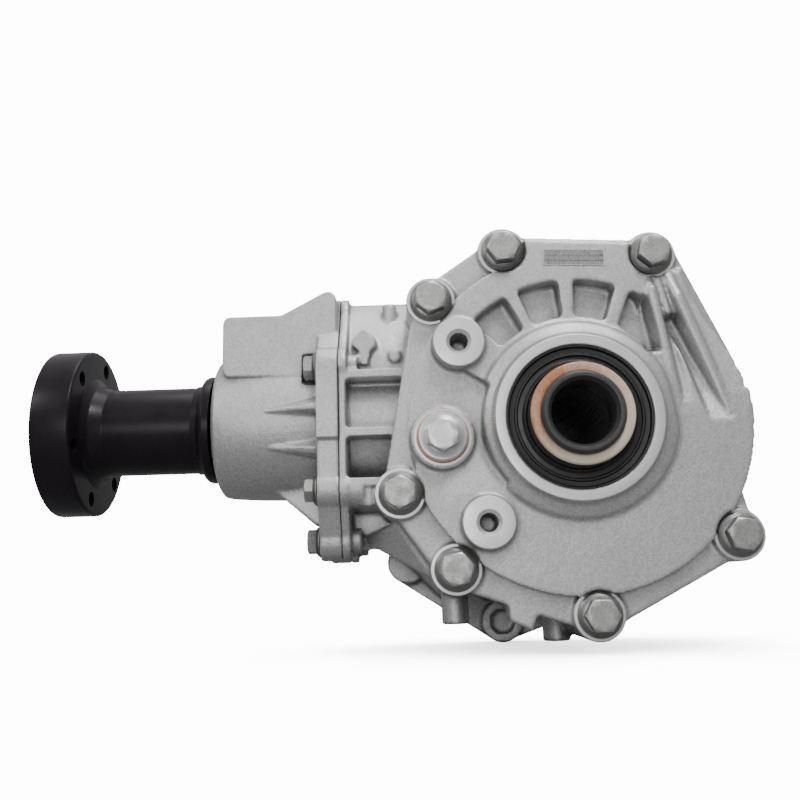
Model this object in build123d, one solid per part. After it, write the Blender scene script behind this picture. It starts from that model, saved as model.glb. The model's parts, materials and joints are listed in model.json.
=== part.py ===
from build123d import *
import math
import os

# Transfer case with a right-angle bevel drive, in millimetres.
# Origin: on the hollow shaft's axis, in the face that bolts to the transaxle.
# +X runs away from the output flange, +Y towards the transaxle, +Z up.

# Main planes, measured back from the machined ring round the front seal
case_depth = 128.0
parting_depth = 24.0
pinion_depth = 75.0
shaft_flange_depth = pinion_depth - 43.0
y_ring = -case_depth
y_pinion = y_ring + pinion_depth

# Taper roller bearings
shaft_bearing_outer = 40.0
shaft_bearing_width = 20.0
head_bearing_bore = 15.0
head_bearing_outer = 31.0
head_bearing_width = 21.0
tail_bearing_bore = 12.5
tail_bearing_outer = 26.0
tail_bearing_width = 18.0
rolling_gap = 0.3
roller_taper = 13.0
cage_wall = 1.2
cage_overhang = 1.6
rib_share = 0.13
retainer_share = 0.07
cone_share = 0.96
cup_foot_share = 0.1
roller_share = 0.29
thrust_rib_share = 0.14
retainer_rib_share = 0.05
rear_bearing_depth = 98.0
bearing_wall = 7.0
bearing_lip = 3.0
cup_gap = 2.5
shim = 1.2
roller_pitch_share = 1.42
cage_stand_share = 0.28
cup_seat_relief = 3.0
journal_undercut = 3.0

# How far a cut or an overlap runs past the face it meets
past = 1.0

# Ring gear and its bolts, which clear the wall round the front bearing
ring_bolts = 8
ring_bolt_radius = 4.0
ring_bolt_flats = 12.0
ring_bolt_head = 5.0
ring_bolt_reach = 7.5
ring_bolt_room = 9.0
ring_bolt_edge = 4.0
ring_bolt_end_gap = 0.6
ring_register_wall = 6.0
ring_bolt_circle = 2 * (shaft_bearing_outer + bearing_wall + ring_bolt_room)
shaft_flange_radius = ring_bolt_circle / 2 + ring_bolt_radius + ring_bolt_edge
shaft_register_radius = ring_bolt_circle / 2 - ring_bolt_radius - ring_register_wall
ring_gear_radius = shaft_flange_radius + 6.0
ring_rim_depth = shaft_flange_depth + 2.0
chamber_radius = ring_gear_radius + 6.0

# Bevel gear pair, whose ring gear teeth are skewed to reach a raised pinion
pinion_teeth = 12
ring_teeth = 31
gear_offset = 11.06
tooth_inner = shaft_register_radius + 1.0
tooth_outer = ring_gear_radius - 4.0
pressure_angle = math.radians(20.0)
backlash_share = 0.12
pinion_addendum = 1.0
ring_addendum = 0.72
tip_clearance = 0.28
root_overlap = 1.0
tooth_heights = (-0.35, 0.4)
gear_ratio = pinion_teeth / ring_teeth

# Cover and case flange
cover_round_radius = chamber_radius + 10.0
cover_bolt_circle = 2 * (cover_round_radius + 9.2)
cover_bolt_angles = (137.9, 110.2, 63.0, -38.2, -87.0, -131.1, -159.0)
cover_boss_radius = 12.8
flange_margin = 8.8
cover_flange = 11.0
case_flange = 12.0
bolt_boss_rise = 2.0
bolt_radius = 5.0
bolt_hole_gap = 0.5
bolt_washer_radius = 10.9
bolt_washer = 1.6
bolt_head_flats = 14.8
bolt_head_height = 8.0
bolt_grip = 30.0
spot_face_gap = 1.0
bolt_end_gap = 2.0
dowel_radius = 4.0
dowel_length = 14.0
dowel_ring = chamber_radius + 8.0
dowel_angles = (170.0, -62.7)
pry_tab = ((-39.0, -85.0), (-37.5, -97.0), (-27.0, -101.8), (-24.5, -95.2), (-20.0, -85.0))

# Cover face
ring_face_radius = 41.4
ring_face_round = 1.2
boss_foot_radius = 48.5
boss_foot_depth = 5.4
boss_shoulder_depth = 3.0
boss_foot_flank = 1.6
bulge_radius = cover_round_radius - 2.5
bulge_depth = 7.6
bulge_round = 5.0
pocket_inner = 52.5
pocket_outer = 72.0
pocket_floor_depth = 18.0
pocket_corner = 2.4
pocket_spans = ((117.2, 133.6), (94.6, 111.9), (71.0, 88.4))
corner_pocket = ((30.4, 65.3), (35.5, 62.7), (38.5, 35.7), (23.2, 47.1))
cover_wall = 5.4
roof_depth = 22.0
roof_angles = (8.0, 142.0)
roof_overlap = 6.0
plateau_margin = 5.5
plateau_foot = ((46.0, 60.0), (-30.0, 66.0))
left_recess_depth = 12.2
left_recess_corner = 3.0
left_recess_reach = 46.5
left_recess = (
    (-98.0, 60.0), (-67.0, 56.0), (-60.0, 30.0), (-44.0, 19.5),
    (-38.0, 9.0), (-34.0, -26.0), (-40.0, -42.0), (-98.0, -42.0),
)
left_recess_slope = ((12.2, -10.0), (6.6, -42.0))

# Long ribs below the upper right bolt, as front-view (x, z) outlines and (depth, z) slopes
left_long_rib = ((38.2, 73.0), (48.4, 14.0), (53.4, 14.0), (43.7, 73.0))
right_long_rib = ((48.6, 72.5), (76.6, 10.0), (81.0, 12.0), (53.6, 74.5))
rib_slope = ((96.0, 6.1), (75.0, 6.1), (10.0, 8.4), (4.0, 8.4))
rib_blank = ((20.0, 4.0), (100.0, 4.0), (100.0, 96.0), (20.0, 96.0))
rib_channel = ((43.7, 74.0), (53.4, 14.0), (56.0, 4.0), (92.0, 4.0), (92.0, 60.0), (60.0, 95.0))
channel_slope = ((96.0, 11.6), (58.0, 11.6), (4.0, 7.2))
deep_groove = ((46.9, 53.0), (52.6, 53.0), (67.2, 15.0), (61.3, 15.0))
groove_slope = ((54.0, 17.5), (14.0, 10.0))

# Bracket bosses and filler plug on the cover, as (x, z)
bracket_upper = (-57.5, 40.0)
bracket_lower = (-46.3, -50.0)
bracket_boss_radius = 13.2
bracket_boss_depth = 2.0
bracket_thread_radius = 4.65
bracket_chamfer = 1.8
bracket_thread_depth = 20.0
plug_at = (-67.1, -7.5)
plug_boss_radius = 15.9
plug_boss_depth = 6.0
plug_thread_radius = 8.0
plug_flange_radius = 11.7
plug_flange = 2.4
plug_head_flats = 14.6
plug_head_height = 7.0
plug_shank = 14.0
plug_washer_radius = 13.0
plug_washer = 1.5

# Hollow input shaft
shaft_seal_radius = 25.4
shaft_nose_depth = -7.6
shaft_bore_radius = 16.0
shaft_flange = 7.0
shaft_register = 6.5
shaft_waist_radius = 28.0
shaft_waist_taper = 8.0
shaft_nose_edge = 0.8
spline_out_length = 22.0
spline_radius = 24.2
spline_root_radius = 22.4
spline_teeth = 24
spline_start = 2.0
spline_root_share = 0.3
spline_tip_share = 0.18
nose_counterbore_radius = 20.2
nose_counterbore_depth = 8.0
nose_ring = 1.5
nose_ring_inner_round = (0.7, 0.5)
nose_ring_outer_round = (0.6, 0.4)
nose_ring_set_in = 0.3
inner_seal_depth = -12.6
inner_seal_radius = 15.5
inner_seal_edge = 1.2
inner_seal_mouth = (1.6, 2.4)

# Seals
seal_gap = 0.3
front_seal_radius = 35.8
front_seal_set_in = 1.0
front_seal_width = 9.0
front_seal_shoulder = 33.0
rear_seal_radius = 34.0
rear_seal_width = 9.0
rear_shoulder_radius = 31.5
rear_shoulder = 5.0
seal_case_wall = 1.2
seal_case_rubber = 1.4
garter_radius = 1.1
garter_stand = 3.2
garter_set_in = 0.3

# Seal lips, as (stand-off from the journal with its gap, distance from the seal's open face) points
front_seal_heel = 3.4
front_seal_web = 3.2
front_seal_lip = ((2.0, 3.2), (0.0, 5.2), (0.0, 4.4), (1.0, 2.2), (0.0, 0.4), (0.6, 0.0))
rear_seal_web = 3.4
rear_seal_skin = 2.4
rear_seal_lip = ((0.6, 0.0), (0.0, 0.6), (1.0, 2.4), (0.0, 4.6), (0.0, 5.4), (2.0, 3.4))

# Main case
chamber_end_depth = 60.0
cavity_front_radius = chamber_radius - 4.0
cavity_rear_radius = chamber_radius + 4.0
cavity_end_depth = 108.0
wall_boss_proud = 2.0
pinion_room_depth = 6.0
rear_wall_boss_radius = shaft_bearing_outer + 8.0
case_waist_radius = chamber_radius + 8.0
case_rear_radius = case_waist_radius + 14.0
rear_flange = 12.0
rear_flange_margin = 12.0
lug_radius = 12.0
lug_hole_radius = 5.5
lugs = ((-33.8, -101.0), (-88.0, -66.0), (-62.0, 89.0), (20.0, 105.0), (100.0, 36.0), (84.0, -60.0))
threaded_lugs = lugs[:2]
through_lugs = lugs[2:]
lug_thread_radius = 4.65
lug_thread_depth = 16.2
lug_boss_length = 20.0
lug_dimple_radius = 7.0
lug_dimple = 3.0
lug_spot_room = 20.0
column_end_depth = 66.0
spigot_radius = 44.0
spigot_length = 10.0
corner_web_near = ((-74.5, -75.9), (-93.2, -47.0))
corner_web_far = ((-67.0, -88.0), (-97.0, -60.0))
corner_face = ((-93.2, 36.0, -47.0), (-74.5, 36.0, -75.9), (-111.2, 55.0, -54.3))
corner_face_length = 48.0
foot_depth = 60.0
foot_radius = 7.2
left_foot = (-62.6, -99.6, -70.0)
right_foot = (-9.7, -109.4, -84.0)

# Neck of the case and the joint with the pinion housing
x_joint = -120.5
case_joint_flange = 4.5
thread_boss_radius = 6.6
thread_boss_length = 10.0
long_boss_radius = 9.8
long_boss_length = 12.7
neck_front_depth = 27.0
neck_bore_radius = 35.0
neck_frame_top = 33.3
neck_frame_bottom = -28.1
neck_tube_wall = 4.6
neck_window_corner = 1.8
neck_windows = ((2.2, 28.2), (-23.7, -2.4))
neck_window_left = -116.4
neck_shelf = 8.0
neck_window_proud = 2.0
neck_brow = (32.0, 58.5)
neck_crown = 14.0
neck_top = 78.5
neck_rear = -45.5
neck_shoulder = (-22.0, 48.5)
neck_bar = (42.0, -38.0)
neck_undercut = (20.0, -40.0)
neck_bottom = -58.0
neck_keel = -26.0
neck_right = -52.0

# Small cast bosses on the neck, as front-view (x, z) places
shield_boss = (
    (-106.4, 57.0), (-101.5, 52.5), (-99.9, 47.3), (-103.6, 44.0), (-104.4, 37.0),
    (-108.2, 37.0), (-109.0, 44.0), (-113.3, 47.5), (-111.2, 52.5),
)
shield_boss_depth = 32.0
shield_boss_back = 56.0
button_boss = (-90.5, 41.5)
button_radius = 3.4
button_depth = 33.5
pillar_at = (-93.2, 26.0)
pillar_radius = 3.9
pillar_span = (59.0, 74.0)
lower_post_at = (-105.0, 43.4)
lower_post_radius = 4.0
lower_post_span = (-38.4, -27.0)

# Pinion housing
housing_flange = 11.5
housing_bolts_at = (
    (-39.0, 36.8), (-39.0, -29.0), (-27.0, -55.0), (27.0, -55.0),
    (39.0, -29.0), (39.0, 36.8), (-33.0, 77.0),
)
long_bossed_bolt = housing_bolts_at[4]
housing_corner = (15.0, 70.5)
housing_margin = 8.6
housing_boss_radius = 10.4
housing_bolt_radius = 4.0
housing_bolt_flats = 12.0
housing_bolt_head = 6.0
housing_washer_radius = 8.6
housing_washer = 1.4
housing_bolt_grip = 20.0
snout_end = -190.5
snout_radius = 41.0
snout_round = 7.0
snout_nose = ((0.6, 0.6), (2.2, 0.28))
snout_shoulder = 1.0
x_head_bearing = -74.0
x_tail_bearing = -184.0
sleeve_gap_to_bearing = 2.0
housing_core_radius = 22.5
platform_left = -184.0
platform_front = 36.0
platform_bottom = 33.8
platform_top = 67.6
platform_round = 4.0
ramp_start = -152.0
ramp_top = 80.2
ramp_crest = 4.0
platform_sink = 10.0
bolt_head_room = 8.5
snout_flare = 1.5
snout_land = 22.0
flange_pad = (39.0, 49.4, -2.9, 36.8)
gusset_left = -159.5
gusset_tip = 2.0
gusset_sink = 5.0
gusset_crest = 4.0
gusset_tip_sink = -1.0
gussets = ((-4.0, 8.5, 11.0), (24.0, 8.5, 11.0), (67.0, 25.0, 17.0), (113.0, 25.0, 17.0))

# O-rings
o_ring_radius = 1.5
o_ring_groove = 3.4
o_ring_gap = 0.2
housing_o_ring_from_joint = 9.0
transaxle_o_ring_radius = 1.9
transaxle_groove_from_face = 4.0
transaxle_o_ring_stand = 0.1

# Pinion shaft and companion flange
pinion_shoulder_radius = 20.0
pinion_back_flare = 2.0
pinion_spline_radius = 12.0
pinion_spline_end = -222.0
pinion_thread_radius = 10.0
pinion_thread_end = -243.0
nut_flats = 30.0
nut_height = 14.0
nut_washer = 2.0
nut_washer_gap = 1.5
spacer_wall = 2.0
spacer_bulge = 4.0
spacer_bulge_half = 12.0
spacer_gap = 0.4
spacer_collar = 2.0
depth_shim_width = 4.0
preload_shim_width = 6.0
flange_left = -284.0
flange_thickness = 21.3
flange_radius = 47.1
flange_root_round = 9.0
flange_root_shares = (0.3, 0.75)
tube_radius = 24.6
tube_end = -200.0
hub_radius = 19.0
tube_bore_radius = 19.5
tube_bore_end = -224.0
flange_bolts = 6
flange_bolt_circle = 78.0
flange_bolt_hole = 4.2
flange_bolt_start = 12.0
pilot_radius = 30.0
pilot_depth = 3.0
flange_round = 1.6
deflector_radius = 30.5
deflector_wall = 1.4
deflector_edge = 0.8
deflector_left = -204.0
deflector_right = -193.0
pinion_seal_radius = 28.0
pinion_seal_width = 6.0
pinion_seal_set_in = 0.3
pinion_seal_skin = 1.6
pinion_seal_web = 2.4
pinion_seal_lip = ((1.4, 2.4), (0.0, 4.2), (0.0, 3.0), (0.8, 1.4), (0.0, 0.0))


def at_depth(depth):
    """Y of a plane that lies this far behind the machined ring's face."""
    return y_ring + depth


def facing(depth):
    """Drawing plane across the shaft's axis, seen from the front."""
    return Plane(origin=(0, at_depth(depth), 0), x_dir=(1, 0, 0), z_dir=(0, -1, 0))


def slab(sketch, front_depth, back_depth):
    """Solid of a front-view sketch between two depths."""
    return extrude(facing(back_depth) * sketch, back_depth - front_depth)


def across(x):
    """Drawing plane across the pinion's axis, seen from the output flange: right is forward."""
    return Plane(origin=(x, y_pinion, 0), x_dir=(0, -1, 0), z_dir=(-1, 0, 0))


def cross_slab(sketch, left, right):
    """Solid of an output-side sketch between two x positions."""
    return extrude(across(right) * sketch, right - left)


def spun(points):
    """Solid turned about the hollow shaft's axis from (radius, depth) points."""
    return revolve(make_face(Polyline([(r, at_depth(d)) for r, d in points], close=True)), Axis.Y)


def spun_pinion(points):
    """Solid turned about the pinion's axis from (x, radius) points."""
    profile = make_face(Polyline(points, close=True))
    return Pos(0, y_pinion, gear_offset) * revolve(profile, Axis.X)


def ring_of(inner, outer, front_depth, back_depth):
    """Plain ring about the hollow shaft's axis."""
    return spun([(inner, front_depth), (outer, front_depth), (outer, back_depth), (inner, back_depth)])


def pinion_ring(inner, outer, left, right):
    """Plain ring about the pinion's axis."""
    return spun_pinion([(left, inner), (left, outer), (right, outer), (right, inner)])


def post(at, radius, front_depth, back_depth):
    """Round post along Y at a front-view (x, z) place."""
    return slab(Pos(*at) * Circle(radius), front_depth, back_depth)


def polar(radius, degrees):
    """Front-view (x, z) of a place given by radius and angle."""
    angle = math.radians(degrees)
    return (radius * math.cos(angle), radius * math.sin(angle))


def cover_bolt_places():
    """Centres of the cover's flange bolts, in turn round the joint."""
    return [polar(cover_bolt_circle / 2, angle) for angle in cover_bolt_angles]


def dowel_places():
    """Centres of the two dowels in the cover joint."""
    return [polar(dowel_ring, angle) for angle in dowel_angles]


def lugged(places, margin, boss):
    """Outline through bolt centres, widened by a margin, with a round boss at each bolt."""
    outline = offset(make_face(Polyline(places, close=True)), amount=margin, kind=Kind.ARC)
    for place in places:
        outline += Pos(*place) * Circle(boss)
    return outline


def shoulder_flank():
    """Straight flank from the upper right bolt boss to the round edge of the joint."""
    lean = math.acos((cover_round_radius - cover_boss_radius) / (cover_bolt_circle / 2))
    angle = cover_bolt_angles[2] - math.degrees(lean)
    x, z = cover_bolt_places()[2]
    reach_x, reach_z = polar(cover_boss_radius, angle)
    return make_face(Polyline((x, z), (x + reach_x, z + reach_z), polar(cover_round_radius, angle),
                              (0, 0), close=True))


def cover_outline():
    """Outline that the cover and the case share at their joint."""
    outline = lugged(cover_bolt_places(), flange_margin, cover_boss_radius)
    outline += Circle(cover_round_radius) + shoulder_flank()
    return outline + make_face(Polyline(*pry_tab, close=True))


def housing_outline():
    """Outline of the joint between the pinion housing and the case's neck, seen from the left."""
    upper_corner = len(housing_bolts_at) - 1
    places = [*housing_bolts_at[:upper_corner], housing_corner, *housing_bolts_at[upper_corner:]]
    return lugged(places, housing_margin, housing_boss_radius)


def flange_bolt(shank, grip, washer_radius, washer, flats, head):
    """Flange bolt along Z with its seat at zero and its head above."""
    bolt = Pos(0, 0, -grip / 2) * Cylinder(shank, grip)
    bolt += Pos(0, 0, washer / 2) * Cylinder(washer_radius, washer)
    head_outline = RegularPolygon(flats / 2, 6, major_radius=False)
    bolt += Pos(0, 0, washer) * extrude(head_outline, head)
    return bolt


def set_facing(solid, at, depth):
    """Put a solid that points up Z at a front-view place, pointing to the viewer."""
    x, z = at
    return Plane(origin=(x, at_depth(depth), z), x_dir=(1, 0, 0), z_dir=(0, -1, 0)) * solid


def set_across(solid, at, x):
    """Put a solid that points up Z at an output-side place, pointing to the left."""
    forward, z = at
    plane = Plane(origin=(x, y_pinion - forward, z), x_dir=(0, -1, 0), z_dir=(-1, 0, 0))
    return plane * solid


def sloped(outline, slope):
    """Solid of a front-view outline from the front down to a floor given by (z, depth) points."""
    low = min(x for x, z in outline)
    high = max(x for x, z in outline)
    top, bottom = slope[0][0], slope[-1][0]
    floor = [(at_depth(depth), z) for z, depth in slope]
    side = [(at_depth(-past), top), *floor, (at_depth(-past), bottom)]
    section = make_face(Plane.YZ * Polyline(side, close=True))
    wedge = Pos(low - past, 0, 0) * extrude(section, high - low + 2 * past, dir=(1, 0, 0))
    return slab(make_face(Polyline(outline, close=True)), 0, parting_depth) & wedge


def sector(inner, outer, start, end):
    """Flat ring sector between two radii and two angles, with rounded corners."""
    far = CenterArc((0, 0), outer, start, end - start)
    near = CenterArc((0, 0), inner, start, end - start)
    band = make_face([far, Line(far @ 1, near @ 1), near, Line(near @ 0, far @ 0)])
    return fillet(band.vertices(), pocket_corner)


# Cover


def cover_bulge():
    """Round bulge over the ring gear, with the raised boss of the shaft seal."""
    back = parting_depth
    with BuildPart() as bulge:
        with BuildSketch(Plane.XY):
            with BuildLine():
                rim_top = at_depth(bulge_depth + bulge_round)
                rim = Line((bulge_radius, at_depth(back)), (bulge_radius, rim_top))
                edge = JernArc(rim @ 1, rim % 1, bulge_round, 90)
                face = Line(edge @ 1, (boss_foot_radius + boss_foot_flank, at_depth(bulge_depth)))
                foot = Line(face @ 1, (boss_foot_radius, at_depth(boss_foot_depth)))
                land = Line(foot @ 1, (ring_face_radius + ring_face_round, at_depth(boss_shoulder_depth)))
                neck = Line(land @ 1, (ring_face_radius, at_depth(0)))
                top = Line(neck @ 1, (0, at_depth(0)))
                axis = Line(top @ 1, (0, at_depth(back)))
                Line(axis @ 1, rim @ 0)
            make_face()
        revolve(axis=Axis.Y)
    return bulge.part


def cover_cavity():
    """Room inside the cover for the ring gear's bolts, shallow behind the pockets and ribs."""
    inner = shaft_bearing_outer + bearing_wall + bolt_hole_gap
    room = ring_of(inner, chamber_radius, left_recess_depth + cover_wall, parting_depth)
    roof = sector(inner - roof_overlap, chamber_radius + roof_overlap, *roof_angles)
    return room - slab(roof, 0, roof_depth)


def left_recess_cut():
    """Sunk panel round the filler plug, rising to the bulge below it."""
    panel = make_face(FilletPolyline(*left_recess, radius=left_recess_corner, close=True))
    panel -= Circle(left_recess_reach)
    top = left_recess[0][1] + past
    (level, ramp_top_z), (shallow, ramp_bottom_z) = left_recess_slope
    slope = ((top, level), (ramp_top_z, level), (ramp_bottom_z, shallow))
    return slab(panel, 0, left_recess_depth) & sloped(left_recess, slope)


def top_plateau():
    """Flat land between the two upper bolts, level with the gear bulge."""
    (left, left_z), (right, right_z) = cover_bolt_places()[1:3]
    land = make_face(Polyline((left, left_z + plateau_margin), (right, right_z + plateau_margin),
                              *plateau_foot, close=True))
    return slab(land, bulge_depth, parting_depth)


def rib_field_cut():
    """Channels on both sides of the right long rib, with the deep groove between the ribs."""
    rib = slab(make_face(Polyline(right_long_rib, close=True)), 0, parting_depth)
    channel = sloped(rib_channel, channel_slope) - rib
    return channel + sloped(deep_groove, groove_slope)


def long_ribs():
    """The two long ribs, a little proud of the bulge and fading into it at their feet."""
    ribs = slab(make_face(Polyline(left_long_rib, close=True)), 0, parting_depth)
    ribs += slab(make_face(Polyline(right_long_rib, close=True)), 0, parting_depth)
    return ribs - sloped(rib_blank, rib_slope)


def end_cover():
    """Front cover: seal boss, bearing seat, gear bulge, ribs, bolt bosses and bracket bosses."""
    flange_depth = parting_depth - cover_flange
    seat_depth = flange_depth - bolt_boss_rise
    cover = slab(cover_outline(), flange_depth, parting_depth)
    for place in cover_bolt_places():
        cover += post(place, cover_boss_radius, seat_depth, parting_depth)
    cover += cover_bulge() + top_plateau()
    cover -= rib_field_cut()
    cover += long_ribs()
    for place in cover_bolt_places():
        cover -= post(place, bolt_washer_radius + spot_face_gap, -past, seat_depth)
    cover -= left_recess_cut()
    for start, end in pocket_spans:
        cover -= slab(sector(pocket_inner, pocket_outer, start, end), 0, pocket_floor_depth)
    pocket = make_face(FilletPolyline(*corner_pocket, radius=pocket_corner, close=True))
    cover -= slab(pocket, 0, pocket_floor_depth)
    cover -= cover_cavity()
    cup_seat = shaft_flange_depth - shaft_bearing_width
    cover += ring_of(shaft_bearing_outer, shaft_bearing_outer + bearing_wall,
                     cup_seat - bearing_lip, shaft_flange_depth - cup_gap)
    for place in (bracket_upper, bracket_lower):
        cover += post(place, bracket_boss_radius, bracket_boss_depth, parting_depth)
    cover += post(plug_at, plug_boss_radius, plug_boss_depth, parting_depth)
    for place in (bracket_upper, bracket_lower):
        cover -= post(place, bracket_thread_radius, bracket_boss_depth, bracket_thread_depth)
        mouth = Cone(bracket_thread_radius, bracket_thread_radius + bracket_chamfer, bracket_chamfer)
        cover -= set_facing(Pos(0, 0, -bracket_chamfer / 2) * mouth, place, bracket_boss_depth)
    cover -= post(plug_at, plug_thread_radius, 0, parting_depth)
    for place in cover_bolt_places():
        cover -= post(place, bolt_radius + bolt_hole_gap, 0, parting_depth)
    for place in dowel_places():
        cover -= post(place, dowel_radius, parting_depth - dowel_length / 2, parting_depth)
    cover -= ring_of(0, front_seal_radius, -past, front_seal_set_in + front_seal_width)
    cover -= ring_of(0, front_seal_shoulder, 0, cup_seat)
    cover -= ring_of(0, shaft_bearing_outer, cup_seat, shaft_flange_depth)
    return cover


def cover_bolts():
    """Flange bolts of the cover, each with its own hexagon head."""
    seat = parting_depth - cover_flange - bolt_boss_rise
    bolt = flange_bolt(bolt_radius, bolt_grip, bolt_washer_radius, bolt_washer,
                       bolt_head_flats, bolt_head_height)
    return [set_facing(bolt, place, seat) for place in cover_bolt_places()]


def dowel_pins():
    """Dowels that line the cover up with the case."""
    front = parting_depth - dowel_length / 2
    return [post(place, dowel_radius, front, front + dowel_length) for place in dowel_places()]


def filler_plug():
    """Hexagon filler plug, down on its sealing washer."""
    plug = flange_bolt(plug_thread_radius, plug_shank, plug_flange_radius, plug_flange,
                       plug_head_flats, plug_head_height)
    return set_facing(plug, plug_at, plug_boss_depth - plug_washer)


def plug_sealing_washer():
    """Soft metal washer under the filler plug."""
    washer = Cylinder(plug_washer_radius, plug_washer) - Cylinder(plug_thread_radius, plug_washer)
    return set_facing(Pos(0, 0, plug_washer / 2) * washer, plug_at, plug_boss_depth)


def front_seal():
    """Lip seal between the cover and the hollow shaft: pressed case, lip and dust lip."""
    front = front_seal_set_in
    back = front + front_seal_width
    lip = shaft_seal_radius + seal_gap
    skin = front_seal_radius - seal_case_wall - seal_case_rubber
    return spun([
        (front_seal_radius, front), (front_seal_radius, back), (lip + front_seal_heel, back),
        (lip + front_seal_heel, back - seal_case_wall), (skin, back - seal_case_wall),
        (skin, front + front_seal_web),
        *[(lip + stand, front + deep) for stand, deep in front_seal_lip],
    ])


def seal_spring():
    """Garter spring round the seal's lip."""
    radius = shaft_seal_radius + seal_gap + garter_stand + garter_radius
    depth = front_seal_set_in + front_seal_web + garter_radius + garter_set_in
    return turned_ring((radius, depth), garter_radius)


def turned_ring(place, radius):
    """Round-section ring about the hollow shaft's axis."""
    r, depth = place
    return revolve(Pos(r, at_depth(depth)) * Circle(radius), Axis.Y)


# Case


def neck_profile():
    """Outline of the case's neck, seen from the output side, with a rounded brow over its front."""
    front = pinion_depth - neck_front_depth
    shelf = (front - neck_shelf, neck_frame_top)
    crown = (neck_crown, neck_top)
    back_left, back_right = neck_shoulder
    return make_face([
        ThreePointArc(shelf, neck_brow, crown),
        Polyline(crown, (back_left, neck_top), (neck_rear, back_right), (neck_rear, neck_frame_bottom),
                 (neck_keel, neck_bottom), (neck_undercut[0], neck_bottom), neck_undercut, neck_bar,
                 (neck_bar[0], neck_frame_bottom), (front, neck_frame_bottom), (front, neck_frame_top),
                 shelf),
    ])


def upright(at, radius, span):
    """Round post along Z, given by its x and its distance forward of the pinion's axis."""
    x, forward = at
    low, high = span
    return Pos(x, y_pinion - forward, (low + high) / 2) * Cylinder(radius, high - low)


def neck():
    """Neck between the gear chamber and the pinion housing: a tube in a box with open windows."""
    body = cross_slab(neck_profile(), x_joint, neck_right)
    body += cross_slab(housing_outline(), x_joint, x_joint + case_joint_flange)
    boss = Pos(0, 0, -thread_boss_length / 2) * Cylinder(thread_boss_radius, thread_boss_length)
    long_boss = Pos(0, 0, -long_boss_length / 2) * Cylinder(long_boss_radius, long_boss_length)
    for place in housing_bolts_at:
        body += set_across(boss, place, x_joint)
    body += set_across(long_boss, long_bossed_bolt, x_joint)
    tube = pinion_ring(0, neck_bore_radius + neck_tube_wall, x_joint, neck_right)
    width = neck_right - neck_window_left
    for low, high in neck_windows:
        window = Pos(neck_window_left + width / 2, (low + high) / 2) * RectangleRounded(
            width, high - low, neck_window_corner)
        body -= slab(window, neck_front_depth - neck_window_proud, pinion_depth) - tube
    body += slab(make_face(Polyline(shield_boss, close=True)), shield_boss_depth, shield_boss_back)
    body += post(button_boss, button_radius, button_depth, shield_boss_back)
    body += upright(pillar_at, pillar_radius, pillar_span)
    return body + upright(lower_post_at, lower_post_radius, lower_post_span)


def rear_outline():
    """Outline of the face that bolts to the transaxle."""
    return lugged(list(lugs), rear_flange_margin, lug_radius)


def corner_web():
    """Sloping wall from the lower left edge of the joint to the rear flange."""
    near = make_face(facing(parting_depth + case_flange) * Polyline((0, 0), *corner_web_near, close=True))
    far = make_face(facing(case_depth - rear_flange) * Polyline((0, 0), *corner_web_far, close=True))
    return loft([near, far], ruled=True)


def corner_cheek():
    """Slanted cheek between the joint's lower left edge and the foot of the neck."""
    face = make_face(Polyline([(x, at_depth(depth), z) for x, depth, z in corner_face], close=True))
    return extrude(face, corner_face_length, dir=(0, 1, 0))


def feet():
    """Two cast feet under the case, behind the cover's lower bolts."""
    solids = []
    for x, low, high in (left_foot, right_foot):
        solids.append(Pos(x, at_depth(foot_depth), (low + high) / 2) * Cylinder(foot_radius, high - low))
    return solids


def case_shell():
    """Outside of the main case before its bores are cut."""
    flange_back = parting_depth + case_flange
    rear_front = case_depth - rear_flange
    shell = slab(cover_outline(), parting_depth, flange_back)
    drum = spun([(0, flange_back - past), (case_waist_radius, flange_back - past),
                 (case_rear_radius, rear_front + past), (0, rear_front + past)])
    shell += drum
    shell += slab(rear_outline(), rear_front, case_depth)
    for place in cover_bolt_places():
        shell += post(place, cover_boss_radius, parting_depth, column_end_depth)
    for place in threaded_lugs:
        shell += post(place, lug_radius, case_depth - lug_boss_length, case_depth)
    shell += feet()
    shell += corner_web() + corner_cheek()
    shell += neck()
    shell += ring_of(0, spigot_radius, case_depth, case_depth + spigot_length)
    return shell


def case_bores():
    """Everything cut from the main case: gear chamber, shaft cavity, bearing and seal seats."""
    seat = rear_bearing_depth
    cup_back = seat + shaft_bearing_width + shim
    mouth = parting_depth - past
    room = spun([
        (0, mouth), (chamber_radius, mouth), (chamber_radius, chamber_end_depth),
        (cavity_front_radius, chamber_end_depth), (cavity_rear_radius, cavity_end_depth),
        (0, cavity_end_depth),
    ])
    room -= ring_of(0, rear_wall_boss_radius, seat - wall_boss_proud, cavity_end_depth + past)
    room += ring_of(0, shaft_bearing_outer, seat - cup_seat_relief, cup_back)
    room += ring_of(0, rear_shoulder_radius, cup_back - past, cup_back + rear_shoulder)
    seal_front = case_depth + spigot_length - rear_seal_width
    room += ring_of(0, rear_seal_radius, seal_front, case_depth + spigot_length + past)
    room += ring_of(0, rear_shoulder_radius, cup_back, seal_front + past)
    room += pinion_ring(0, neck_bore_radius, x_joint - past, pinion_room_depth - tooth_inner)
    return room


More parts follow.
